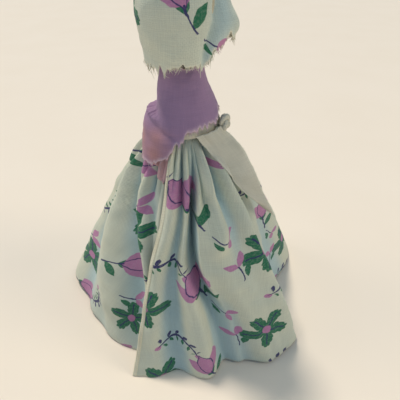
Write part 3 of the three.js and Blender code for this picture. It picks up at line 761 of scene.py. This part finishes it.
falls = np.linspace(0, 1, 92) ** 1.1
band = np.linspace(SKIRT_TOP, SKIRT_BAND, 7)[:-1]
columns, flats, reliefs = [], [], []
for z in band:
    azimuth = skirt_columns(0.0)
    reliefs.append(skirt_relief(azimuth, 0.0))
    columns.append(around(azimuth, skirt_radius(azimuth, 0.0) + 0.1 * (z - SKIRT_BAND) / 5, z))
    flats.append(skirt_flat(azimuth, SKIRT_TOP - z))
for fall in falls:
    azimuth = skirt_columns(fall)
    columns.append(skirt_place(azimuth, fall))
    reliefs.append(skirt_relief(azimuth, fall))
    flats.append(skirt_flat(azimuth, SKIRT_TOP - SKIRT_BAND + SKIRT_SLANT * fall))
places = np.stack(columns[::-1], 1)
flat = np.stack(flats[::-1], 1)
hem_mark = np.zeros(places.shape[:2])
hem_mark[:, 0] = 0.5
# Painted shade: the cloth is painted bluish in the hollows of its folds, by how far they sink in.
painted_shade = 1 - ease(0.72 + np.stack(reliefs[::-1], 1) / 2.8)
skirt = lay_cloth("skirt_print", places, flat, 0.28, hem_mark, painted_shade)
skirt.modifiers["Thickness"].material_offset = 1
skirt.data.materials.append(printed_cotton)
skirt.data.materials.append(printed_reverse)
skirt_fray = fray("skirt_fray", places[:, 0], places[:, 1], flat[:, 0], 60, 0.7, 23)
skirt_fray.data.materials.append(printed_cotton)

# The selvedge: the woven edge of the cloth, turned once and held down with two rows of stitches.
SELVEDGE = 1.2
selvedge_cotton = cloth_material("selvedge_cotton", (230, 226, 204), (220, 214, 188), (234, 230, 212), 0.34)
heights = np.linspace(0.012, 1, 150)
profile = [
    (SELVEDGE, 0.15), (SELVEDGE * 0.93, 0.24), (SELVEDGE * 0.5, 0.26), (0.08, 0.24),
    (-0.12, 0.0), (0.1, -0.24), (0.4, -0.18),
]


def on_selvedge(fall, inward, proud):
    """A place on the lapping edge, inward from it and proud of the cloth, in mm."""
    start = skirt_columns(fall)[0]
    return skirt_place(start + np.degrees(inward / skirt_radius(start, fall)), fall, proud)


strip = np.array([[on_selvedge(f, d, p) for f in heights[::-1]] for d, p in profile[::-1]])
length = np.linspace(0, SKIRT_SLANT, len(heights))
flat = paired(np.linspace(0, 2.6, len(profile))[:, None], length)
selvedge = lay_cloth("skirt_selvedge", strip, flat, 0.1)
selvedge.data.materials.append(selvedge_cotton)
STITCH = ((0, 0.2), (0.0016, 0.31), (0.0045, 0.32), (0.0064, 0.2))
stitches = []
for inward in (0.3, 0.9):
    for k in range(92):
        spot = 0.016 + (k + 0.5 * (inward > 0.5)) * 0.0106
        line = [on_selvedge(spot + step, inward, lift) for step, lift in STITCH]
        stitches.append(tube(np.array(line), [0.05, 0.08, 0.08, 0.05], 5))
selvedge_stitches = gather_tubes("selvedge_stitches", stitches)
selvedge_stitches.data.materials.append(thread_cotton)
for piece, finish in (
    (skirt, "printed_cotton"),
    (skirt_fray, "printed_cotton"),
    (selvedge, "printed_cotton"),
    (selvedge_stitches, "thread"),
):
    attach(piece, "trunk")
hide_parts("skirt")

# Skirt tie. Three turns of thread draw the skirt's gathers in at the waist.
# The sash is tied over it.
skirt_tie = wind_thread("skirt_thread", 8.0, 74.1, 120)
skirt_tie.data.materials.append(thread_cotton)
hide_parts("skirt_tie")
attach(skirt_tie, "trunk")

# Sash. A strip of plain cotton, folded in three along the waist and knotted at the side.
# Its two ends hang open over the skirt as tails, with their edges fraying.
SASH_MIDDLE, SASH_RADIUS, SASH_ROUND = 74.1, 8.78, 56.0
# The fold from its inner edge: how far out and how far up each bend is.
SASH_FOLD = [
    (0.0, -1.6), (0.0, 0.0), (0.02, 1.5), (0.14, 1.62), (0.26, 1.45), (0.26, 0.0),
    (0.26, -1.4), (0.38, -1.52), (0.5, -1.35), (0.54, 0.0), (0.5, 1.3), (0.46, 1.55),
]
plain_cotton = cloth_material("plain_cotton", (212, 207, 191), (202, 197, 180), (228, 224, 208), 0.4)
turn = np.linspace(0, 360, 145)[:, None]
fold_out, fold_up = (np.array(v)[None, :] for v in zip(*SASH_FOLD))
sag = 0.12 * ripple(turn / 9, fold_up, 31, 4)
places = around(
    turn,
    SASH_RADIUS + fold_out + 0.05 * np.sin(np.radians(turn * 9)),
    SASH_MIDDLE + fold_up + sag * np.sin(np.radians(turn / 2)),
)
flat = paired(SASH_ROUND * turn / 360, run_along(SASH_FOLD))
sash = lay_cloth("sash_round_waist", places, flat, 0.16, sewn=True)
sash.data.materials.append(plain_cotton)


def tie_knot(name, centre, azimuth, size, strand, flatten):
    """A tight knot of gathered cloth: one strand through its own loop, facing an azimuth."""
    u = np.linspace(0, 4 * np.pi, 181)
    swing = np.cos(1.5 * u)
    path = size * np.stack(
        [(2 + swing) * 0.5 * np.cos(u), flatten * 0.5 * np.sin(1.5 * u), (2 + swing) * 0.5 * np.sin(u)], -1
    )
    way = np.gradient(path, axis=0)
    way[0] = way[-1] = path[1] - path[-2]
    way /= np.linalg.norm(way, axis=1)[:, None]
    side = np.cross(way, (0.0, 1.0, 0.0))
    side /= np.linalg.norm(side, axis=1)[:, None]
    up = np.cross(side, way)
    ring = np.linspace(0, 2 * np.pi, 29)[None, :, None]
    along = u[:, None, None]
    pleats = 1 + 0.13 * np.abs(np.sin(3.5 * ring + 0.6 * np.sin(along))) + 0.05 * np.sin(2 * ring + 3 * along)
    grid = path[:, None] + strand * pleats * (np.cos(ring) * side[:, None] + 0.85 * np.sin(ring) * up[:, None])
    grid[-1] = grid[0]
    a = math.radians(azimuth)
    spin = np.array([[math.cos(a), math.sin(a), 0], [-math.sin(a), math.cos(a), 0], [0, 0, 1]])
    grid = grid @ spin + centre
    flat = paired(size * 1.3 * u[:, None], strand * ring[..., 0])
    return lay_cloth(name, grid, flat, 0, sewn=True)


knot = tie_knot("sash_knot_tied", around(76, 11.5, 74.4), 70, 1.2, 0.74, 1.0)
knot.data.materials.append(plain_cotton)

# A tail's width, how far it keeps off the skirt, and how many steps of its width it bridges to each side.
TAIL_WIDTH, TAIL_CLEAR, TAIL_BRIDGE = 9, 0.6, 3
# Each edge of a tail from its root at the sash to its tip: azimuth, radius and height.
FRONT_TAIL = (
    [
        (19, 10.3, 73.8), (33, 10.6, 70.2), (43, 12.4, 66.4), (51, 15.6, 62.1),
        (58, 19.0, 57.4), (66, 21.6, 53.0), (84, 24.6, 45.0),
    ],
    [
        (65, 10.6, 74.2), (75, 13.5, 70.6), (80, 16.8, 66.5), (79, 20.4, 60.4),
        (82, 23.4, 52.8), (86, 26.4, 46.0), (91, 29.2, 39.5),
    ],
)
BACK_TAIL = (
    [
        (98, 10.3, 73.4), (101, 12.0, 69.0), (105, 15.6, 64.0), (109, 19.4, 59.0),
        (113, 22.8, 54.0), (117, 25.6, 50.0), (120, 28.0, 46.5),
    ],
    [
        (136, 10.3, 73.0), (136, 11.6, 69.0), (136, 14.8, 64.0), (136, 18.2, 59.0),
        (136, 21.4, 54.5), (136, 24.0, 51.0), (135, 26.6, 48.5),
    ],
)


def lay_tail(edges, seed):
    """A sash end's places between its two edges, from its tip up to its root, clear of the skirt, and its flat cut."""
    left, right = (np.array(e, float) for e in edges)
    step = np.linspace(0, 1, len(left))
    share, wide = np.linspace(0, 1, 33), np.arange(-TAIL_BRIDGE, 33 + TAIL_BRIDGE) / 32
    bearings, levels = np.arange(0, 151, 0.75), np.linspace(0, 0.5, 61)
    skirts = [np.hypot(*skirt_place(bearings, f)[:, :2].T) for f in levels]
    rows = []
    for v in np.linspace(1, 0, 64):
        (a, r, z), (b, s, y) = ([flowing(step, e[:, k], v) for k in range(3)] for e in (left, right))
        azimuth, radius, height = (p + (q - p) * wide for p, q in ((a, b), (r, s), (z, y)))
        fall = np.clip((SKIRT_BAND - height) / SKIRT_BAND, 0, 1)
        level = np.clip(fall / levels[1], 0, len(levels) - 2)
        upper, lower = (
            np.array([np.interp(at, bearings, skirts[k]) for at, k in zip(azimuth, level.astype(int) + down)])
            for down in (0, 1)
        )
        under = upper + (lower - upper) * (level % 1)
        # The strip lies on the tops of the gathers and bridges the gaps between them.
        under = np.lib.stride_tricks.sliding_window_view(under, 2 * TAIL_BRIDGE + 1).max(1)
        azimuth, radius, height = (row[TAIL_BRIDGE:-TAIL_BRIDGE] for row in (azimuth, radius, height))
        wave = 0.3 * ripple(share * 9, v * 36 + 0 * share, seed, 10) * ease(v / 0.25)
        crease = 0.3 * np.abs(np.sin(np.pi * (share * 3.2 + 0.3))) * (1 - ease(v / 0.4))
        rows.append(around(azimuth, np.maximum(radius + wave, under + TAIL_CLEAR) + crease, height))
    places = np.stack(rows, 1)
    length = run_along(places[len(share) // 2])
    return places, paired((share - 0.5)[:, None] * TAIL_WIDTH, length), length[-1]


# Each tail is laid between its edges from the sash's band to its tip, torn along its tip and sides, and frayed.
for label, body, node, edges, seed, root, free in (
    ("front", "front_tail", "sash_tail_front", FRONT_TAIL, 41, (48, 10.0, 74.0), (60, 14.5, 66.0)),
    ("back", "back_tail", "sash_tail_back", BACK_TAIL, 45, (116, 10.0, 74.0), (118, 14.0, 66.0)),
):
    places, flat, length = lay_tail(edges, seed)
    places, raw = tear(places, 0, seed, 0.8, 0.45, 1.0)
    sides = places.transpose(1, 0, 2)
    sides, side_raw = tear(sides, 0, seed + 1, 0.9, 0.22, 0.8)
    sides, far_raw = tear(sides, -1, seed + 2, 0.9, 0.22, 0.8)
    places = sides.transpose(1, 0, 2)
    raw = np.maximum(raw, np.maximum(side_raw, far_raw).T)
    tail = lay_cloth(f"sash_tail_{label}_strip", places, flat, 0.24, raw)
    loose = [
        fray(f"sash_tail_{label}_fray_tip", places[:, 0], places[:, 1], flat[:, 0], 46, 1.3, seed + 3),
        fray(f"sash_tail_{label}_fray_left", places[0], places[1], flat[0], 50, 0.6, seed + 4),
        fray(f"sash_tail_{label}_fray_right", places[-1], places[-2], flat[-1], 50, 0.6, seed + 5),
    ]
    for piece in (tail, *loose):
        piece.data.materials.append(plain_cotton)
        around(*root) * MM
        around(*free) * MM
        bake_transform(piece)
    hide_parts(node)
    length = round(length) * MM
for piece, node in ((sash, "sash_band"), (knot, "sash_knot")):
    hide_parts(node)
    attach(piece, "trunk")

# Bust padding. A roll of cotton wadding pushed round the column above the skirt.
# It fills out the chest under the bodice.
wadding = fibre_material(
    "cotton_wadding",
    specular=0.1,
    sheen=0.3,
    stretch=(1.0, 1.0, 3.0),
    grain=(1.8, 6.0),
    colours=((214, 208, 194), (240, 237, 228)),
    rough=(0.2, 0.8, 0.9, 1.0),
    depth=0.25,
)


def turn_wadding(name, profile, lump, seed):
    """A lumpy ball or ring of wadding about the doll's axis from its (radius, z) outline, drawn from below."""
    radius, z = np.array(profile, float).T
    turn = np.linspace(0, 360, 97)[:, None]
    uneven = lump * ripple(5 * np.sin(np.radians(turn)) + z, 5 * np.cos(np.radians(turn)) - z, seed, 4)
    places = around(turn, np.maximum(radius + uneven * np.minimum(1, radius / 3), 0), z[None, :])
    return lay_cloth(name, places, paired(turn / 6, z[None, :]), 0, sewn=True)


# Its outline from below: radius and height.
BUST_RING = [
    (4.5, 79.4), (4.9, 79.0), (5.9, 79.0), (6.35, 79.7), (6.3, 80.8), (6.0, 82.0),
    (5.5, 82.6), (4.2, 82.6), (3.6, 82.2), (4.3, 80.9), (4.5, 79.4),
]
bust = turn_wadding("bust_wadding", BUST_RING, 0.14, 51)
bust.data.materials.append(wadding)
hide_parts("bust_padding")
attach(bust, "trunk")

# Bodice. A piece of lilac cotton wrapped from the neck down over the sash and lapped at the back.
# All its edges are raw. It flares at the waist on one side, where its lower edge dips to a worn corner, and painted
# warm light makes that flare pinker.
BODICE_TOP, BODICE_HALF_TURN = 89.0, 192
# Its radius at heights on its left, front and right, and the height of its lower edge at azimuths.
BODICE_LEFT = [
    (60, 14.0), (66, 12.6), (70, 11.7), (73, 10.9), (75.4, 10.3), (76.8, 9.9),
    (77.4, 7.6), (78.2, 7.0), (80, 6.75), (84, 6.3), (89.2, 5.6),
]
BODICE_FRONT = [
    (60, 14.0), (66, 12.6), (70, 11.6), (73, 10.6), (75, 9.8),
    (77, 8.9), (79, 8.0), (81, 7.25), (84, 6.4), (89.2, 5.6),
]
BODICE_RIGHT = [(60, 13.6), (73, 10.8), (76, 10.1), (79, 8.8), (84, 6.6), (89.2, 5.0)]
BODICE_EDGE = [
    (-192, 72.0), (-180, 72.0), (-125, 71.5), (-72, 67.0), (-46, 65.5), (-27, 67.2), (-7, 71.7), (10, 74.8), (29, 75.8),
    (53, 75.8), (70, 76.6), (84, 78.2), (112, 77.0), (150, 73.0), (180, 72.0), (192, 72.0),
]
lilac_cotton = cloth_material(
    "lilac_cotton", (166, 134, 166), (156, 127, 159), (222, 196, 206), 0.36, painted_light_colour=(184, 136, 138)
)


def hill(away, width):
    """A soft hill: 1 at its middle, and next to nothing at twice its width away."""
    return np.exp(-((away / width) ** 2))


def bodice_radius(azimuth, z):
    """How far out the bodice is: it follows the chest, and its waist steps out where it flares, with a ragged rim."""
    turned = 0.5 + 0.5 * np.sin(np.radians(azimuth))
    ragged = teeth((azimuth + BODICE_HALF_TURN) / 5.5, 69, 0.8, 0.6)
    ragged = ragged * hill(z - 77.1, 0.9) * ease((-36 - azimuth) / 25)
    front, right = np.interp(z, *zip(*BODICE_FRONT)), np.interp(z, *zip(*BODICE_RIGHT))
    left = front + (np.interp(z - ragged, *zip(*BODICE_LEFT)) - front) * ease((-34 - azimuth) / 34)
    crease_z = 76.6 - 3.6 * (azimuth + 75) / 65
    crease = 0.45 * hill(z - crease_z, 0.9) * ease((azimuth + 95) / 30) * ease((15 - azimuth) / 40)
    swell = 0.35 * hill(z - crease_z + 2.2, 1.3) * ease((azimuth + 95) / 30) * ease((20 - azimuth) / 40)
    lap = 0.45 * ease((azimuth - 150) / 22)
    return left + (right - left) * ease(turned) - crease + swell + lap


azimuth = np.linspace(-BODICE_HALF_TURN, BODICE_HALF_TURN, 300)[:, None]
edge = smoothly(*zip(*BODICE_EDGE), azimuth)
z = edge + (BODICE_TOP - edge) * np.linspace(0, 1, 84)[None, :]
radius = bodice_radius(azimuth, z) + 0.12 * ripple(azimuth / 7, z, 61, 7) + 0.05 * ripple(azimuth / 7, z, 62, 2.6)
wave = 0.5 * np.sin(np.radians(azimuth * 6 + 30)) * np.clip(1 - (z - edge) / 6, 0, 1) * ease((75.5 - edge) / 3)
places, raw = tear(around(azimuth, radius + wave, z), 0, 63, 1.1, 1.25, 1.3)
places, top_raw = tear(places, -1, 64, 0.9, 0.5, 0.9)
raw = np.maximum(raw, top_raw)
# Painted warm light: the upward-facing flare on the lower left is painted pinker, in uneven patches.
painted_light_mark = ease((azimuth + 125) / 40) * ease((-8 - azimuth) / 30) * ease((76.5 - z) / 5)
painted_light_mark = painted_light_mark * np.clip(0.72 + 0.5 * ripple(azimuth / 5, z, 70, 7), 0.1, 1)
flat = paired(azimuth / 6.4, z)
bodice = lay_cloth("bodice_wrap", places, flat, 0.3, raw**2, painted_light_mark)
loose = [
    fray("bodice_fray_hem", places[:, 0], places[:, 1], flat[:, 0], 320, 1.0, 65),
    fray("bodice_fray_neck", places[:, -1], places[:, -2], flat[:, -1], 50, 0.5, 66),
    fray("bodice_fray_lap", places[-1], places[-2], flat[-1], 40, 0.8, 67),
]

# The corner of the bodice's inner end hangs out below its edge, faded to pink.
CORNER_TOP, CORNER_DROP = 69.5, 9.0
down = np.linspace(1, 0, 26)
across = np.linspace(-1, 1, 19)
rows = []
for v in down:
    z = CORNER_TOP - CORNER_DROP * v
    fall = (SKIRT_BAND - z) / SKIRT_BAND
    middle, half = -44 + 19 * v, 21.0 * (1 - v) ** 0.6 + 0.6
    radius = skirt_radius(middle + 360 + across * half, fall) + 0.75 + 0.1 * np.sin(across * 4 + v * 3)
    rows.append(around(middle + across * half, radius, z + 0.4 * across))
corner_places = np.stack(rows, 1)
corner_flat = paired(across[:, None] * 2, down * CORNER_DROP)
corner = lay_cloth("bodice_inner_corner", corner_places, corner_flat, 0.26, 0.45, 1.0)
loose += [corner, fray("bodice_fray_corner", corner_places[:, 2], corner_places[:, 3], corner_flat[:, 0], 12, 0.8, 68)]
worn_pink = cloth_material("worn_pink_cotton", (208, 148, 150), (200, 140, 144), (228, 200, 202), 0.36)
for piece in (bodice, *loose):
    piece.data.materials.append(worn_pink if piece is corner else lilac_cotton)
    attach(piece, "trunk")
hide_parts("bodice")

# Head. A ball of cotton wadding, pressed round and set on top of the column's neck.
# It gives the head its shape.
HEAD_Z, HEAD_RADIUS, HEAD_HALF = 101.0, 8.7, 10.3
swing = np.radians(np.linspace(-39, 90, 30))
ball = [(0.0, 95.0), (3.4, 95.0)] + [(HEAD_RADIUS * math.cos(s), HEAD_Z + HEAD_HALF * math.sin(s)) for s in swing]
ball[-1] = (0.0, ball[-1][1])
head = turn_wadding("head_ball", ball, 0.12, 71)
head.data.materials.append(wadding)
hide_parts("head_wadding")
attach(head, "head")

# Head cover. A round of muslin drawn over the ball and gathered below it, with its raw edge left as it was cut.
# It is the doll's plain face.
COVER_RADIUS, COVER_HALF = 9.42, 11.0
COVER_NECK = [(3.95, 89.7), (3.82, 90.4), (3.8, 91.4), (3.82, 92.5), (4.1, 93.4), (4.8, 93.95), (5.9, 94.1)]
swing = np.radians(np.linspace(-39, 90, 44))
outline = COVER_NECK + [(COVER_RADIUS * math.cos(s), HEAD_Z + COVER_HALF * math.sin(s)) for s in swing]
radius, z = (np.array(v)[None, :] for v in zip(*outline))
radius[0, -1] = 0.0
turn = np.linspace(0, 360, 181)[:, None]
gathers = np.abs(np.sin(np.radians(turn * 9) + 0.7 * np.sin(np.radians(turn * 2)))) - 0.6
gathers = gathers * np.interp(z, [89.5, 91, 94, 98], [0.34, 0.2, 0.3, 0.0])
pucker = 0.07 * ripple(turn / 7, z, 72, 6) * np.minimum(1, radius / 4)
places = around(turn, np.maximum(radius + gathers + pucker, 0), z)
run = np.concatenate([[0], np.cumsum(np.hypot(np.diff(radius[0]), np.diff(z[0])))])
ray = (run[-1] - run)[None, :]
flat = paired(ray * np.sin(np.radians(turn)), ray * np.cos(np.radians(turn)))
cover = lay_cloth("head_cover_round", places, flat, 0.3, np.where(z < 90, 0.6, 0.0), sewn=True)
cover.data.materials.append(muslin)
cover_fray = fray("head_cover_fray", places[:, 0], places[:, 1], flat[:, 0], 60, 0.35, 73)
cover_fray.data.materials.append(muslin)
for piece in (cover, cover_fray):
    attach(piece, "head")
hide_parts("head_cover")

# Neck tie. Three turns of thread wound over the head cover's gathers, round the column's neck.
# They hold the head on, and it turns and nods there.
neck_tie = wind_thread("neck_thread", 4.95, 91.0, 170)
neck_tie.data.materials.append(thread_cotton)
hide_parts("neck_tie")
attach(neck_tie, "neck")

# Kerchief. A square of the skirt's print laid over the head from behind and tied under the chin.
# Its edges are cut ragged and fray, and one side stands off the head as a flat wing.
KERCHIEF_RADIUS, KERCHIEF_HALF, KERCHIEF_LOW = 10.5, 12.1, 90.0
# The azimuth where the opening for the face starts at heights, and the height of the hem at azimuths.
FACE_EDGE = [
    (88, 172), (91, 172), (94, 158), (98, 143), (101, 142), (104.5, 148), (107.3, 166), (108.3, 180), (115, 180),
]
KERCHIEF_HEM = [
    (-180, 90.3), (-40, 89.9), (20, 90.4), (42, 90.6), (66, 94.2), (84, 96.8), (104, 95.6), (130, 91.0), (180, 90.3),
]
# The square lies flat about the back of the head: its reach for each radian, and its place on the printed cloth.
KERCHIEF_REACH, KERCHIEF_CUT = 11.2, (11.2, -10.0)
WING_COLUMNS = slice(205, 270)


def kerchief_place(azimuth, z):
    """Places on the kerchief: round the head above, falling nearly straight below it, with its wing."""
    round_head = np.sqrt(np.clip(1 - ((z - HEAD_Z) / KERCHIEF_HALF) ** 2, 0, 1))
    radius = np.where(z > 99, KERCHIEF_RADIUS * round_head, 10.36 - 0.18 * (99 - z))
    wing = 3.3 * hill(azimuth - 84, 24) * hill(z - 97.6, 4.2)
    crease = 1.3 * hill(azimuth - 46 - 1.2 * (z - 98), 7) * ease((108 - z) / 6)
    gathers = 0.3 * (np.abs(np.sin(np.radians(azimuth * 7.5))) - 0.5)
    gathers = gathers * ease((np.abs(azimuth) - 95) / 50) * ease((106 - z) / 10)
    soft = 0.4 * ripple(azimuth / 6, z, 81, 9) + 0.1 * ripple(azimuth / 6, z, 82, 3.5)
    chin = 1.9 * ease((np.abs(azimuth) - 146) / 24) * ease((95 - z) / 4)
    radius = radius + (wing - crease + gathers + soft) * np.minimum(1, round_head * 1.6) + chin
    return around(azimuth, np.where(round_head < 0.02, 0, radius), z)


share = np.linspace(-1, 1, 331)[:, None]
angle = np.linspace(0, 1, 78)[None, :]
hem = smoothly(*zip(*KERCHIEF_HEM), share * 176)
low = np.clip((HEAD_Z - KERCHIEF_LOW) / KERCHIEF_HALF, -1, 1)
swing = -np.arcsin(low) + (np.pi / 2 + np.arcsin(low)) * angle
even = HEAD_Z + KERCHIEF_HALF * np.sin(swing)
z = even + (hem - KERCHIEF_LOW) * (1 - ease((even - KERCHIEF_LOW) / 16))
azimuth = share * smoothly(*zip(*FACE_EDGE), z)
places, raw = tear(kerchief_place(azimuth, z), 0, 83, 1.3, 1.9, 1.8)
back = places - np.array([0, 0, HEAD_Z])
back = back / np.linalg.norm(back, axis=2)[..., None]
off = np.arccos(np.clip(-back[..., 1], -1, 1))
bearing = np.arctan2(back[..., 0], back[..., 2])
flat = paired(KERCHIEF_REACH * off * np.sin(bearing), KERCHIEF_REACH * off * np.cos(bearing)) + KERCHIEF_CUT
face_raw = np.clip((np.abs(share) - 0.975) / 0.025, 0, 1) * (z < 108)
# Painted shade: a bluish band painted along and beyond the kerchief's crease towards its wing, and a little over all of
# it.
painted_shade = 0.1 + 0.75 * hill(azimuth - 56 - 1.2 * (z - 98), 15)
kerchief = lay_cloth("kerchief_square", places, flat, 0.3, np.maximum(raw**3, face_raw * 0.6), painted_shade, sewn=True)
kerchief.modifiers["Thickness"].material_offset = 1
kerchief.data.materials.append(printed_cotton)
kerchief.data.materials.append(printed_reverse)
open_rows = int(np.sum(z[0] < 107.5))
wing, wing_flat = places[WING_COLUMNS], flat[WING_COLUMNS]
loose = [
    fray("kerchief_fray_hem", places[:, 0], places[:, 1], flat[:, 0], 460, 1.2, 84),
    fray("kerchief_fray_wing", wing[:, 0], wing[:, 1], wing_flat[:, 0], 150, 1.7, 88),
    fray("kerchief_fray_face_left", places[0, :open_rows], places[3, :open_rows], flat[0, :open_rows], 40, 0.5, 85),
    fray("kerchief_fray_face_right", places[-1, :open_rows], places[-4, :open_rows], flat[-1, :open_rows], 40, 0.5, 86),
]

# The two front corners are knotted under the chin, and their short ends stand out to the sides.
CHIN = np.array([0.0, 11.0, 90.4])
chin_knot = tie_knot("kerchief_chin_knot", CHIN, 180, 1.1, 0.6, 0.8)
ends = []
for side, label in ((-1, "left"), (1, "right")):
    out_way = np.linspace(0, 1, 22)[::-1]
    wide = np.linspace(-1, 1, 15)
    grid = np.array([
        [
            (
                side * (0.7 + 4.3 * s),
                11.2 + 1.5 * s**1.4 + 0.25 * np.cos(3 * w),
                90.2 - 1.5 * s + w * (0.55 + 0.75 * ease(s / 0.5)),
            )
            for s in out_way
        ]
        for w in (wide if side > 0 else wide[::-1])
    ])
    grid, end_raw = tear(grid, 0, 87 + side, 0.6, 0.4, 0.8)
    end_flat = paired((wide * 1.3 + 9 * side)[:, None], out_way * 5)
    end = lay_cloth(f"kerchief_end_{label}", grid, end_flat, 0.24, end_raw * 0.7)
    ends += [end, fray(f"kerchief_end_{label}_fray", grid[:, 0], grid[:, 1], end_flat[:, 0], 22, 0.8, 90 + side)]
for piece in (kerchief, chin_knot, *ends, *loose):
    if piece is not kerchief:
        piece.data.materials.append(printed_cotton)
    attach(piece, "head")
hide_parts("kerchief")
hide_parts("kerchief_knot")

# Table, light and camera. A plain pale table top under soft light from above and both sides.
# The camera looks down at the doll's front from close by, as at a small thing held near.
mesh = bpy.data.meshes.new("table_top")
mesh.from_pydata([(-1.5, -1.5, 0), (1.5, -1.5, 0), (1.5, 1.5, 0), (-1.5, 1.5, 0)], [], [(0, 1, 2, 3)])
table = new_piece("table_top", mesh)
pale, tree, shader = new_material("pale_table")
feed(shader["Roughness"], 0.7)
feed(shader["Base Color"], tint(noise(place_in_mm(tree), 0.02, 2.0), paint(233, 222, 209), paint(237, 227, 216)))
mesh.materials.append(pale)

world = bpy.data.worlds.new("soft_room")
bpy.context.scene.world = world
world.use_nodes = True
room = world.node_tree.nodes["Background"].inputs
seen = add_node(world.node_tree, "ShaderNodeLightPath", {}, "Is Camera Ray")
feed(room["Color"], tint(seen, (0.5, 0.76, 1.0, 1.0), paint(236, 228, 218)))
feed(room["Strength"], ramp(seen, 0.0, 1.0, 0.36, 1.0))
for label, source, spread, strength, colour in (
    ("overhead", (-0.29, 0.36, 1.0), 8, 2.15, (1.0, 0.89, 0.73)),
    ("right_side", (1.0, -0.2, 0.65), 26, 0.8, (1.0, 0.86, 0.64)),
    ("left_side", (-1.0, 0.1, 0.7), 26, 0.45, (1.0, 0.88, 0.7)),
):
    lamp = bpy.data.lights.new(label, "SUN")
    lamp.angle = math.radians(spread)
    lamp.energy = strength
    lamp.color = colour
    light = new_piece(label, lamp)
    light.location = source
    aim = -np.array(source)
    yaw, tilt = math.atan2(aim[0], -aim[1]), math.acos(-aim[2] / np.linalg.norm(aim))
    light.rotation_euler = (tilt, 0, yaw + math.pi)

lens = bpy.data.cameras.new("close_view")
lens.lens = 31.5
lens.sensor_width = 36.0
lens.clip_start = 0.005
camera = new_piece("close_view", lens)
camera.location = (0.0045, -0.0897, 0.115)
camera.rotation_euler = (math.radians(52.4), 0, 0)
bpy.context.scene.camera = camera
bpy.context.scene.view_settings.view_transform = "Standard"
